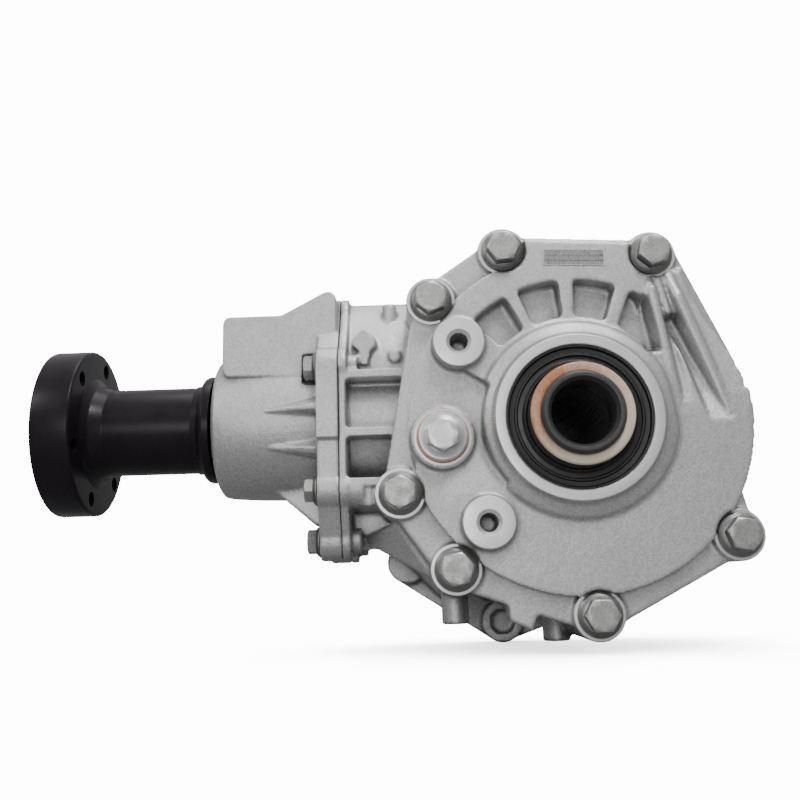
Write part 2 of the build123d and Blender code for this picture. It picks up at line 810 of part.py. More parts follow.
def main_case():
    """Main case: gear chamber, neck, transaxle flange and spigot."""
    case = case_shell() - case_bores()
    seat = parting_depth - cover_flange - bolt_boss_rise
    for place in cover_bolt_places():
        case -= post(place, bolt_radius, parting_depth, seat + bolt_grip + bolt_end_gap)
    for place in dowel_places():
        case -= post(place, dowel_radius, parting_depth, parting_depth + dowel_length / 2)
    for place in through_lugs:
        face = case_depth - rear_flange
        case -= post(place, lug_hole_radius, face - past, case_depth + past)
        case -= post(place, lug_radius, face - lug_spot_room, face)
    for place in threaded_lugs:
        case -= post(place, lug_thread_radius, case_depth - lug_thread_depth, case_depth + past)
    lug_front = case_depth - lug_boss_length
    case -= post(threaded_lugs[0], lug_dimple_radius, lug_front - past, lug_front + lug_dimple)
    hole = Pos(0, 0, -housing_bolt_grip / 2) * Cylinder(housing_bolt_radius, housing_bolt_grip)
    for place in housing_bolts_at:
        case -= set_across(hole, place, x_joint - housing_flange)
    groove_front = case_depth + transaxle_groove_from_face
    groove_floor = spigot_radius - 2 * transaxle_o_ring_radius + transaxle_o_ring_stand
    groove_back = groove_front + 2 * transaxle_o_ring_radius
    return case - ring_of(groove_floor, spigot_radius + past, groove_front, groove_back)


def transaxle_o_ring():
    """O-ring round the transaxle spigot."""
    radius = transaxle_o_ring_radius
    depth = case_depth + transaxle_groove_from_face + radius
    return turned_ring((spigot_radius - radius + transaxle_o_ring_stand, depth), radius)


def rear_seal():
    """Lip seal between the case's spigot and the hollow shaft."""
    back = case_depth + spigot_length
    front = back - rear_seal_width
    lip = shaft_seal_radius + seal_gap
    skin = rear_seal_radius - rear_seal_skin
    return spun([
        (rear_seal_radius, front), (rear_seal_radius, back),
        *[(lip + stand, back - deep) for stand, deep in rear_seal_lip],
        (skin, back - rear_seal_web), (skin, front),
    ])


# Bearings


def bearing_lines(bore, outer, width):
    """Mean radius, roller radius and roller axis slope of a taper roller bearing."""
    mean = (bore + outer) / 2
    roller = (outer - bore) * roller_share
    return mean, roller, math.tan(math.radians(roller_taper))


def race_radius(bore, outer, width, z, side):
    """Radius of the inner (-1) or outer (+1) raceway at a height up the bearing."""
    mean, roller, slope = bearing_lines(bore, outer, width)
    axis = mean + (width / 2 - z) * slope
    scale = axis / mean
    return axis + side * (roller * scale / math.cos(math.radians(roller_taper)) + rolling_gap)


def bearing_cone(bore, outer, width):
    """Inner ring, with its thrust rib at zero height and its retaining rib at the top."""
    rib = width * rib_share
    top = width * cone_share
    neck = top - width * retainer_share
    race = [(race_radius(bore, outer, width, z, -1), z) for z in (rib, neck)]
    high = race[0][0] + (outer - bore) * thrust_rib_share
    low = race[1][0] + (outer - bore) * retainer_rib_share
    points = [(bore, 0), (high, 0), (high, rib), race[0], race[1], (low, neck), (low, top), (bore, top)]
    return revolve(make_face(Plane.XZ * Polyline(points, close=True)), Axis.Z)


def bearing_cup(bore, outer, width):
    """Outer ring, open wide at its lower face and backed at its top face."""
    foot = width * cup_foot_share
    race = [(race_radius(bore, outer, width, z, 1), z) for z in (foot, width)]
    points = [race[0], (outer, foot), (outer, width), race[1]]
    return revolve(make_face(Plane.XZ * Polyline(points, close=True)), Axis.Z)


def roller_count(bore, outer, width):
    """How many rollers fill the bearing with room for the cage between them."""
    mean, roller, slope = bearing_lines(bore, outer, width)
    return int(math.pi * mean / (roller * roller_pitch_share))


def roller_span(bore, outer, width):
    """Heights between which a roller's axis runs, clear of both ribs of the cone."""
    mean, roller, slope = bearing_lines(bore, outer, width)
    tilt = roller * math.sin(math.radians(roller_taper))
    low = width * rib_share + rolling_gap + tilt
    high = width * (cone_share - retainer_share) - rolling_gap - tilt
    return low, high


def roller_at(bore, outer, width, growth):
    """One tapered roller on the +X side, grown evenly by a small amount."""
    mean, roller, slope = bearing_lines(bore, outer, width)
    low, high = roller_span(bore, outer, width)
    length = (high - low) / math.cos(math.radians(roller_taper)) + 2 * growth
    radii = [roller * (mean + (width / 2 - z) * slope) / mean + growth for z in (low, high)]
    body = Cone(radii[0], radii[1], length)
    middle = (low + high) / 2
    return Pos(mean + (width / 2 - middle) * slope, 0, middle) * Rot(0, -roller_taper, 0) * body


def bearing_rollers(bore, outer, width):
    """Full set of tapered rollers."""
    count = roller_count(bore, outer, width)
    roller = roller_at(bore, outer, width, 0)
    return [Rot(0, 0, 360 / count * i) * roller for i in range(count)]


def bearing_cage(bore, outer, width):
    """Thin conical cage with a pocket for each roller."""
    mean, roller, slope = bearing_lines(bore, outer, width)
    low, high = roller_span(bore, outer, width)
    ends = (low - cage_overhang, high + cage_overhang)
    middle = [(mean + (width / 2 - z) * slope + roller * cage_stand_share, z) for z in ends]
    points = [(middle[0][0], middle[0][1]), (middle[0][0] + cage_wall, middle[0][1]),
              (middle[1][0] + cage_wall, middle[1][1]), (middle[1][0], middle[1][1])]
    cage = revolve(make_face(Plane.XZ * Polyline(points, close=True)), Axis.Z)
    count = roller_count(bore, outer, width)
    pocket = roller_at(bore, outer, width, rolling_gap)
    return cage - [Rot(0, 0, 360 / count * i) * pocket for i in range(count)]


def on_front_seat(solid):
    """Place a bearing piece against the front side of the shaft's flange."""
    return Plane(origin=(0, at_depth(shaft_flange_depth), 0), x_dir=(1, 0, 0), z_dir=(0, -1, 0)) * solid


def on_rear_seat(solid):
    """Place a bearing piece against the shaft's rear shoulder."""
    return Plane(origin=(0, at_depth(rear_bearing_depth), 0), x_dir=(1, 0, 0), z_dir=(0, 1, 0)) * solid


def on_head_seat(solid):
    """Place a bearing piece behind the pinion's head."""
    plane = Plane(origin=(x_head_bearing, y_pinion, gear_offset), x_dir=(0, 1, 0), z_dir=(-1, 0, 0))
    return plane * solid


def on_tail_seat(solid):
    """Place a bearing piece against the companion flange's hub."""
    plane = Plane(origin=(x_tail_bearing, y_pinion, gear_offset), x_dir=(0, 1, 0), z_dir=(1, 0, 0))
    return plane * solid


# Hollow shaft


def shaft_splines():
    """External splines at the transaxle end of the hollow shaft."""
    pitch = 360 / spline_teeth
    outline = []
    for i in range(spline_teeth):
        for share, radius in ((-spline_root_share, spline_root_radius), (-spline_tip_share, spline_radius),
                              (spline_tip_share, spline_radius), (spline_root_share, spline_root_radius)):
            outline.append(polar(radius, (i + share) * pitch))
    start = case_depth + spigot_length + spline_start
    return slab(make_face(Polyline(outline, close=True)), start, start + spline_out_length)


def hollow_shaft():
    """Hollow input shaft: seal journal, gear flange and register, bearing journals and splines."""
    nose = shaft_nose_depth
    flange = shaft_flange_depth
    seat = flange + shaft_flange
    register = seat + shaft_register
    end = case_depth + spigot_length + spline_start
    shaft = spun([
        (0, nose), (shaft_seal_radius - shaft_nose_edge, nose), (shaft_seal_radius, nose + shaft_nose_edge),
        (shaft_seal_radius, flange), (shaft_flange_radius, flange), (shaft_flange_radius, seat),
        (shaft_register_radius, seat), (shaft_register_radius, register),
        (shaft_waist_radius, register + shaft_waist_taper), (shaft_waist_radius, rear_bearing_depth),
        (shaft_seal_radius, rear_bearing_depth), (shaft_seal_radius, end), (0, end),
    ])
    shaft += shaft_splines()
    shaft -= ring_of(0, shaft_bore_radius, nose - past, end + spline_out_length + past)
    shaft -= ring_of(0, nose_counterbore_radius, nose - past, nose_counterbore_depth)
    hole = post((ring_bolt_circle / 2, 0), ring_bolt_radius, flange - past, seat + past)
    return shaft - [Rot(0, 360 / ring_bolts * i, 0) * hole for i in range(ring_bolts)]


def shaft_end_ring():
    """Rounded ring pressed on the front end of the hollow shaft."""
    front = shaft_nose_depth - nose_ring
    inner = nose_counterbore_radius
    outer = shaft_seal_radius - nose_ring_set_in
    inner_across, inner_deep = nose_ring_inner_round
    outer_across, outer_deep = nose_ring_outer_round
    return spun([(inner, shaft_nose_depth), (inner, front + inner_deep), (inner + inner_across, front),
                 (outer - outer_across, front), (outer, front + outer_deep), (outer, shaft_nose_depth)])


def inner_shaft_seal():
    """Lipped sleeve in the hollow shaft's mouth, for the shaft that passes through."""
    front = inner_seal_depth
    outer = nose_counterbore_radius
    inner = inner_seal_radius
    edge = inner_seal_edge
    across_mouth, mouth_deep = inner_seal_mouth
    return spun([(outer, nose_counterbore_depth), (outer, front + edge), (outer - edge, front),
                 (inner + across_mouth, front), (inner, front + mouth_deep), (inner, nose_counterbore_depth)])


# Gears


def cone_point(height):
    """Where a point this far off the pitch line, on the back cone, falls at unit distance."""
    slant = math.hypot(1, gear_ratio)
    distance = (slant + height * gear_ratio) / slant
    drop = (slant * gear_ratio - height) / slant
    return drop / distance, 1 / distance


def unit_module():
    """Tooth module at unit distance from the apex."""
    return 2 * gear_ratio / pinion_teeth


def involute(angle):
    """Involute function of a pressure angle."""
    return math.tan(angle) - angle


def half_thickness():
    """Half of a tooth's pitch-line thickness at unit distance, less its share of the backlash."""
    return math.pi * unit_module() / 4 * (1 - backlash_share)


def pinion_flank(height):
    """Section radius and half angle of a pinion tooth at a height off the pitch cone."""
    slant = math.hypot(1, gear_ratio)
    pitch = gear_ratio * slant
    radius = pitch + height
    base = pitch * math.cos(pressure_angle)
    slope = math.acos(min(1.0, base / radius))
    half = radius * (half_thickness() / pitch + involute(pressure_angle) - involute(slope))
    drop, scale = cone_point(-height)
    return drop, half * scale / drop


def pinion_section(distance):
    """Pinion tooth outline across its axis at a distance from the apex."""
    module = unit_module()
    root = -(ring_addendum + tip_clearance) * module
    heights = [root, *[height * module for height in tooth_heights], pinion_addendum * module]
    flank = [pinion_flank(height) for height in heights]
    pitch = 2 * math.pi / pinion_teeth
    outline = []
    for i in range(pinion_teeth):
        middle = (i + 0.5) * pitch
        sides = [(r, middle - a) for r, a in flank] + [(r, middle + a) for r, a in reversed(flank)]
        outline += [(distance * r * math.cos(a), distance * r * math.sin(a)) for r, a in sides]
    return make_face(across(-distance) * Pos(0, gear_offset) * Polyline(outline, close=True))


def pinion_head():
    """Toothed head of the pinion, tapered towards the gears' apex."""
    return loft([pinion_section(tooth_inner), pinion_section(tooth_outer)], ruled=True)


def ring_tooth_section(distance):
    """Section of a ring gear tooth across the pinion's axis direction."""
    module = unit_module()
    sides = []
    for height in (-(pinion_addendum + tip_clearance) * module, ring_addendum * module):
        drop, scale = cone_point(height)
        half = (half_thickness() - height * math.tan(pressure_angle)) * scale
        sides.append((y_pinion - distance * drop, half * distance))
    (y_root, root), (y_tip, tip) = sides
    y_foot = y_root - root_overlap
    lower = [(y_foot, -root), (y_root, -root), (y_tip, -tip)]
    outline = lower + [(y, -half) for y, half in reversed(lower)]
    return make_face(Polyline([(-distance, y, gear_offset + z) for y, z in outline], close=True))


def ring_root_depth(radius):
    """Depth of the ring gear's root surface at a radius."""
    along = math.sqrt(radius ** 2 - gear_offset ** 2)
    drop, scale = cone_point(-(pinion_addendum + tip_clearance) * unit_module())
    return pinion_depth - along * drop


def ring_gear():
    """Ring gear: flanged blank with skewed teeth towards the transaxle."""
    seat = shaft_flange_depth + shaft_flange
    bore = shaft_register_radius
    rim = shaft_flange_radius + rolling_gap
    gear = spun([
        (bore, seat), (rim, seat), (rim, ring_rim_depth), (ring_gear_radius, ring_rim_depth),
        (ring_gear_radius, ring_root_depth(ring_gear_radius)), (bore, ring_root_depth(bore)),
    ])
    tooth = loft([ring_tooth_section(tooth_inner), ring_tooth_section(tooth_outer)], ruled=True)
    gear += [Rot(0, 360 / ring_teeth * i, 0) * tooth for i in range(ring_teeth)]
    hole_end = seat + ring_bolt_reach + ring_bolt_end_gap
    hole = post((ring_bolt_circle / 2, 0), ring_bolt_radius, seat - past, hole_end)
    return gear - [Rot(0, 360 / ring_bolts * i, 0) * hole for i in range(ring_bolts)]


def ring_gear_bolts():
    """Bolts that hold the ring gear to the hollow shaft's flange."""
    grip = shaft_flange + ring_bolt_reach
    bolt = Pos(0, 0, -grip / 2) * Cylinder(ring_bolt_radius, grip)
    bolt += extrude(RegularPolygon(ring_bolt_flats / 2, 6, major_radius=False), ring_bolt_head)
    placed = set_facing(bolt, (ring_bolt_circle / 2, 0), shaft_flange_depth)
    return [Rot(0, 360 / ring_bolts * i, 0) * placed for i in range(ring_bolts)]


# Pinion and its housing


def pinion_shaft():
    """Pinion with its toothed head, bearing journals, splined end and thread."""
    step = x_head_bearing - head_bearing_width - journal_undercut
    shaft = spun_pinion([
        (x_head_bearing, 0), (x_head_bearing, pinion_shoulder_radius),
        (-tooth_outer, pinion_shoulder_radius + pinion_back_flare), (-tooth_outer, 0),
    ])
    shaft += pinion_head()
    shaft += pinion_ring(0, head_bearing_bore, step, x_head_bearing)
    shaft += pinion_ring(0, tail_bearing_bore, x_tail_bearing - past, step)
    shaft += pinion_ring(0, pinion_spline_radius, pinion_spline_end, x_tail_bearing - past)
    return shaft + pinion_ring(0, pinion_thread_radius, pinion_thread_end, pinion_spline_end)


def collapsible_spacer():
    """Thin sleeve between the pinion's bearings, bulged where it is made to crush."""
    left = x_tail_bearing + tail_bearing_width * cone_share
    right = x_head_bearing - head_bearing_width * cone_share
    inner = head_bearing_bore + spacer_gap
    outer = inner + spacer_wall
    middle = (left + right) / 2
    start, end = middle - spacer_bulge_half, middle + spacer_bulge_half
    collar = left + spacer_collar
    return spun_pinion([
        (left, tail_bearing_bore), (left, outer), (start, outer), (middle, outer + spacer_bulge),
        (end, outer), (right, outer), (right, inner), (end, inner),
        (middle, inner + spacer_bulge), (start, inner), (collar, inner), (collar, tail_bearing_bore),
    ])


def depth_shim():
    """Shim behind the pinion's head bearing."""
    right = x_head_bearing - head_bearing_width
    return pinion_ring(head_bearing_outer - depth_shim_width, head_bearing_outer, right - shim, right)


def preload_shim():
    """Shim behind the shaft's rear bearing."""
    front = rear_bearing_depth + shaft_bearing_width
    return ring_of(shaft_bearing_outer - preload_shim_width, shaft_bearing_outer, front, front + shim)


def snout():
    """Turned outside of the pinion housing, with a rounded end."""
    left = snout_end
    right = x_joint
    radius = snout_radius
    return spun_pinion([
        (left, 0), (left, radius - snout_round),
        *[(left + along, radius - snout_round * share) for along, share in snout_nose],
        (left + snout_round, radius - snout_shoulder), (left + snout_land, radius),
        (right, radius + snout_flare), (right, 0),
    ])


def platform():
    """Boxed platform on top of the pinion housing, with a ramp up to the flange."""
    left = platform_left
    top = platform_top
    right = x_joint - housing_flange
    profile = make_face(Plane.XZ * FilletPolyline(
        (left, platform_bottom), (left, top), (ramp_start, top), (right + ramp_crest, ramp_top),
        (right + platform_sink, ramp_top), (right + platform_sink, platform_bottom),
        radius=platform_round, close=True))
    return Pos(0, y_pinion + platform_front, 0) * extrude(profile, 2 * platform_front, dir=(0, -1, 0))


def gusset_section(x, rise, width, top):
    """Section of a gusset across the pinion's axis, from inside the snout to its crest."""
    foot = snout_radius - gusset_sink
    crest = snout_radius + rise
    plane = Plane(origin=(x, 0, 0), x_dir=(0, 1, 0), z_dir=(1, 0, 0))
    return make_face(plane * Polyline((foot, -width / 2), (crest, -top / 2), (crest, top / 2),
                                      (foot, width / 2), close=True))


def gusset(angle, height, width):
    """Tapering rib from the snout to the flange, at an angle below the front."""
    right = x_joint - housing_flange + past
    tip = gusset_section(gusset_left, gusset_tip_sink, gusset_tip, gusset_tip / 2)
    rib = loft([tip, gusset_section(right, height, width, gusset_crest)], ruled=True)
    return Pos(0, y_pinion, gear_offset) * Rot(180 + angle, 0, 0) * rib


def pinion_housing():
    """Housing of the pinion: flange, snout, sleeve into the case, platform and gussets."""
    face = x_joint - housing_flange
    body = cross_slab(housing_outline(), face, x_joint)
    body += snout() + platform()
    for angle, height, width in gussets:
        body += gusset(angle, height, width)
    near, far, low, high = flange_pad
    pad = Pos((near + far) / 2, (low + high) / 2) * Rectangle(far - near, high - low)
    body += cross_slab(pad, face, x_joint)
    sleeve_end = x_head_bearing - sleeve_gap_to_bearing
    body += pinion_ring(0, neck_bore_radius, x_joint - past, sleeve_end)
    cup_back = x_head_bearing - head_bearing_width - shim
    body -= pinion_ring(0, head_bearing_outer, cup_back, sleeve_end + past)
    tail_seat = x_tail_bearing + tail_bearing_width
    body -= pinion_ring(0, housing_core_radius, tail_seat - past, cup_back + past)
    body -= pinion_ring(0, tail_bearing_outer, x_tail_bearing, tail_seat)
    body -= pinion_ring(0, pinion_seal_radius, snout_end - past, x_tail_bearing)
    hole_radius = housing_bolt_radius + bolt_hole_gap
    hole = Pos(0, 0, -housing_flange / 2) * Cylinder(hole_radius, housing_flange + 2 * past)
    room = Pos(0, 0, bolt_head_room / 2) * Cylinder(housing_washer_radius + seal_gap, bolt_head_room)
    for place in housing_bolts_at:
        body -= set_across(hole + room, place, face)
    groove_right = x_joint + housing_o_ring_from_joint + o_ring_groove
    groove_floor = neck_bore_radius - 2 * o_ring_radius - o_ring_gap
    groove_left = groove_right - o_ring_groove
    return body - pinion_ring(groove_floor, neck_bore_radius + past, groove_left, groove_right)


def housing_bolts():
    """Flange bolts of the pinion housing."""
    bolt = flange_bolt(housing_bolt_radius, housing_bolt_grip, housing_washer_radius, housing_washer,
                       housing_bolt_flats, housing_bolt_head)
    return [set_across(bolt, place, x_joint - housing_flange) for place in housing_bolts_at]


def housing_o_ring():
    """O-ring in the groove of the pinion housing's sleeve."""
    x = x_joint + housing_o_ring_from_joint + o_ring_groove / 2
    ring = revolve(Pos(x, neck_bore_radius - o_ring_radius) * Circle(o_ring_radius), Axis.X)
    return Pos(0, y_pinion, gear_offset) * ring


def pinion_seal():
    """Lip seal on the companion flange's hub."""
    left = snout_end + pinion_seal_set_in
    right = left + pinion_seal_width
    lip = hub_radius + seal_gap
    outer = pinion_seal_radius
    skin = outer - pinion_seal_skin
    return spun_pinion([
        (left, outer), (right, outer), (right, skin), (left + pinion_seal_web, skin),
        *[(left + along, lip + stand) for stand, along in pinion_seal_lip],
    ])


def companion_flange():
    """Output flange: bolted disc, long tube and splined hub."""
    left = flange_left
    face = left + flange_thickness
    near, far = flange_root_shares
    root = flange_root_round
    body = spun_pinion([
        (left, 0), (left, flange_radius - flange_round), (left + flange_round, flange_radius),
        (face - flange_round, flange_radius), (face, flange_radius - flange_round),
        (face, tube_radius + root * far), (face + root * near, tube_radius + root * near),
        (face + root, tube_radius), (tube_end, tube_radius), (tube_end, hub_radius),
        (x_tail_bearing, hub_radius), (x_tail_bearing, 0),
    ])
    body -= pinion_ring(0, pinion_spline_radius, tube_bore_end - past, x_tail_bearing - past)
    body -= pinion_ring(0, tail_bearing_bore, x_tail_bearing - past, x_tail_bearing + past)
    body -= pinion_ring(0, tube_bore_radius, left - past, tube_bore_end)
    body -= pinion_ring(0, pilot_radius, left - past, left + pilot_depth)
    hole = Pos(left + flange_thickness / 2, 0, flange_bolt_circle / 2) * Rot(0, 90, 0) * Cylinder(
        flange_bolt_hole, flange_thickness + 2 * past)
    for i in range(flange_bolts):
        turn = flange_bolt_start + 360 / flange_bolts * i
        body -= Pos(0, y_pinion, gear_offset) * Rot(-turn, 0, 0) * hole
    return body


def pinion_nut():
    """Flanged nut on the pinion's end, inside the flange's tube."""
    right = tube_bore_end
    washer = pinion_ring(0, tube_bore_radius - nut_washer_gap, right - nut_washer, right)
    plane = Plane(origin=(right - nut_washer, y_pinion, gear_offset), x_dir=(0, 1, 0), z_dir=(-1, 0, 0))
    nut = washer + extrude(plane * RegularPolygon(nut_flats / 2, 6, major_radius=False), nut_height)
    return nut - pinion_ring(0, pinion_thread_radius, right - nut_height - nut_washer - past, right + past)


def dust_deflector():
    """Pressed cup on the flange's tube that shields the pinion seal."""
    left = deflector_left
    wall = deflector_wall
    return spun_pinion([
        (left, tube_radius), (left, deflector_radius - deflector_edge),
        (left + deflector_edge, deflector_radius),
        (deflector_right, deflector_radius), (deflector_right, deflector_radius - wall),
        (left + wall, deflector_radius - wall), (left + wall, tube_radius),
    ])


def save(name, solids):
    """Write one sub-part, whose solids may be several alike, to its own file."""
    group = list(solids) if isinstance(solids, (list, tuple)) else [solids]
    pieces = [piece for item in group for piece in item.solids()]
    shape = pieces[0] if len(pieces) == 1 else Compound(children=pieces)
    export_step(shape, os.path.join("parts", name + ".step"))


def save_bearing(name, sizes, place):
    """Write the four sub-parts of one taper roller bearing."""
    save(name + "_cone", place(bearing_cone(*sizes)))
    save(name + "_cup", place(bearing_cup(*sizes)))
    save(name + "_rollers", [place(roller) for roller in bearing_rollers(*sizes)])
    save(name + "_cage", place(bearing_cage(*sizes)))


def build():
    """Make every sub-part."""
    os.makedirs("parts", exist_ok=True)
    save("main_case", main_case())
    save("end_cover", end_cover())
    save("pinion_housing", pinion_housing())
    save("cover_bolts", cover_bolts())
    save("housing_bolts", housing_bolts())
    save("dowel_pins", dowel_pins())
    save("filler_plug", filler_plug())
    save("plug_washer", plug_sealing_washer())
    save("front_seal", front_seal())
    save("front_seal_spring", seal_spring())
    save("rear_seal", rear_seal())
    save("pinion_seal", pinion_seal())
    save("transaxle_o_ring", transaxle_o_ring())
    save("housing_o_ring", housing_o_ring())
    save("preload_shim", preload_shim())
    save("depth_shim", depth_shim())
    save("hollow_shaft", hollow_shaft())
    save("shaft_end_ring", shaft_end_ring())
    save("inner_shaft_seal", inner_shaft_seal())
    save("ring_gear", ring_gear())
    save("ring_gear_bolts", ring_gear_bolts())
    save("pinion_shaft", pinion_shaft())
    save("collapsible_spacer", collapsible_spacer())
    save("companion_flange", companion_flange())
    save("pinion_nut", pinion_nut())
    save("dust_deflector", dust_deflector())
    shaft_sizes = (shaft_seal_radius, shaft_bearing_outer, shaft_bearing_width)
    save_bearing("front_bearing", shaft_sizes, on_front_seat)
    save_bearing("rear_bearing", shaft_sizes, on_rear_seat)
    save_bearing("head_bearing", (head_bearing_bore, head_bearing_outer, head_bearing_width), on_head_seat)
    save_bearing("tail_bearing", (tail_bearing_bore, tail_bearing_outer, tail_bearing_width), on_tail_seat)


build()
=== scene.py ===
"""Dresses the transfer case: castings, bolts, seals and the black output flange, lit in a plain studio."""

import json
import logging
import math
from collections.abc import Sequence
from dataclasses import dataclass
from enum import Enum
from functools import cache

import bmesh
import bpy
from bpy.types import ID, Material, Mesh, Node, NodeSocket, NodeTree, Object
from mathutils import Matrix, Vector


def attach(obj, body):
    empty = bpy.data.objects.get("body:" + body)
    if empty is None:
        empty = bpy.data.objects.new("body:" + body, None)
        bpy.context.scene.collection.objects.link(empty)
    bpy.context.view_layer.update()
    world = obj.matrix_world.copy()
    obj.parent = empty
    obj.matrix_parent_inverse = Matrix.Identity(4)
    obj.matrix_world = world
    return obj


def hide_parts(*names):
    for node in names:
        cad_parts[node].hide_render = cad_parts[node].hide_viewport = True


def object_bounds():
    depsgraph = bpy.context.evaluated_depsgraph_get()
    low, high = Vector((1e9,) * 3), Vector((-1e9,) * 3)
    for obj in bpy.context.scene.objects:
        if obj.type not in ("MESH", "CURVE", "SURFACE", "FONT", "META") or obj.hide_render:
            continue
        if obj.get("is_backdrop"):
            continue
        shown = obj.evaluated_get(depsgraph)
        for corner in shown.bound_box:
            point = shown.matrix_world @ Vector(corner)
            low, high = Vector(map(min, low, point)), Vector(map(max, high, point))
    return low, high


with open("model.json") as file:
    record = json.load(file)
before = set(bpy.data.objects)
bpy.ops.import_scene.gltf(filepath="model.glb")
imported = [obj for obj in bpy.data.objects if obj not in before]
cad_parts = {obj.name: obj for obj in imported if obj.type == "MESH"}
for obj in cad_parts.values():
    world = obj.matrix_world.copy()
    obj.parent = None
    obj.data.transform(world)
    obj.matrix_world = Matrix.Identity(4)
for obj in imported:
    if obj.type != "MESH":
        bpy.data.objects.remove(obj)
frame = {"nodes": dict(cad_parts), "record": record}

LOG = logging.getLogger("transfer_case")
MM = 0.001
FLAT_REACH = 1e-7
MERGE_REACH = 1e-6
NODE_MERGE_REACH = 2e-6
CRISP_ANGLE = 35.0
FINE_CRISP_ANGLE = 30.0
CORNER_STEPS = 4
CORNER_SHARE = 0.49
Pair = tuple[float, float]
Place = tuple[float, float, float]
Colour = tuple[float, float, float, float]
Profile = Sequence[Place]
Seat = tuple[Place, float]
Inputs = dict[str | int, object]


class Body(Enum):
    """Rigid bodies of the unit that pieces ride on."""

    CASE = "case"
    INPUT = "input_shaft"
    PINION = "pinion"
    FRONT_ROLLERS = "front_bearing_set"
    REAR_ROLLERS = "rear_bearing_set"
    HEAD_ROLLERS = "head_bearing_set"
    TAIL_ROLLERS = "tail_bearing_set"


class Axis(Enum):
    """The two axes that the drive's parts turn about."""

    SHAFT = "Y"
    PINION = "X"


@dataclass(frozen=True)
class Layout:
    """Places that several sub-assemblies share, in metres, as the construction has them."""

    ring_y: float = -0.128
    pinion_y: float = -0.053
    pinion_z: float = 0.01106
    joint_x: float = -0.1205

    def depth(self, millimetres: float) -> float:
        """Y of a plane this far behind the machined ring."""
        return self.ring_y + millimetres * MM


LAYOUT = Layout()


class Graph:
    """A node tree with short calls for adding and joining nodes."""

    def __init__(self, tree: NodeTree) -> None:
        """Keep the tree that nodes are added to."""
        self.tree = tree

    def feed(self, node: Node, inputs: Inputs) -> None:
        """Give a node's inputs their values.

        Args:
            node: the node.
            inputs: sockets to link or constants to set, by the input's name or number.
        """
        for key, value in inputs.items():
            if isinstance(value, NodeSocket):
                self.tree.links.new(value, node.inputs[key])
            else:
                node.inputs[key].default_value = value

    def add(self, kind: str, inputs: Inputs | None = None, **settings: object) -> Node:
        """Add a node.

        Args:
            kind: Blender's identifier of the node type.
            inputs: what its inputs are fed.
            settings: attributes to set on the node.

        Returns:
            The new node.
        """
        node = self.tree.nodes.new(kind)
        for name, value in settings.items():
            setattr(node, name, value)
        self.feed(node, inputs or {})
        return node

    def math(self, operation: str, first: object, second: object = 0.0, clamp: bool = False) -> NodeSocket:
        """The result of a maths node on two sockets or numbers, held between 0 and 1 on request."""
        node = self.add("ShaderNodeMath", {0: first, 1: second}, operation=operation, use_clamp=clamp)
        return node.outputs[0]

    def mix(self, share: object, first: object, second: object) -> NodeSocket:
        """Two colours blended, with this share of the second."""
        return self.add("ShaderNodeMix", {"Factor": share, 6: first, 7: second}, data_type="RGBA").outputs[2]

    def noise(self, vector: object, scale: object, detail: float = 3.0,
              roughness: float = 0.55) -> NodeSocket:
        """Noise from 0 to 1 at coordinates, with its cells per metre, finer layers and their strength."""
        return self.add("ShaderNodeTexNoise", {"Vector": vector, "Scale": scale, "Detail": detail,
                                               "Roughness": roughness}).outputs["Fac"]

    def remap(self, value: object, low: object, high: object, to_low: float = 0.0,
              to_high: float = 1.0) -> NodeSocket:
        """A range of a value stretched to another range and clamped to it."""
        return self.add("ShaderNodeMapRange", {
            "Value": value, "From Min": low, "From Max": high, "To Min": to_low, "To Max": to_high},
            clamp=True).outputs["Result"]

    def white_to_eye(self, plain: Node, seen: Node, end: Node) -> None:
        """Show one shader straight to the eye and another to everything it lights.

        Args:
            plain: the shader that gives light and reflections.
            seen: the shader that is seen directly.
            end: the tree's output node.
        """
        direct = self.add("ShaderNodeLightPath").outputs["Is Camera Ray"]
        mix = self.add("ShaderNodeMixShader", {0: direct, 1: plain.outputs[0], 2: seen.outputs[0]})
        self.feed(end, {"Surface": mix.outputs[0]})


def grey(value: float, warmth: float = 0.0) -> Colour:
    """A grey colour, a little warm or cold.

    Args:
        value: linear brightness.
        warmth: share added to red and taken from blue.

    Returns:
        The colour with full alpha.
    """
    return (value * (1 + warmth), value, value * (1 - warmth), 1.0)


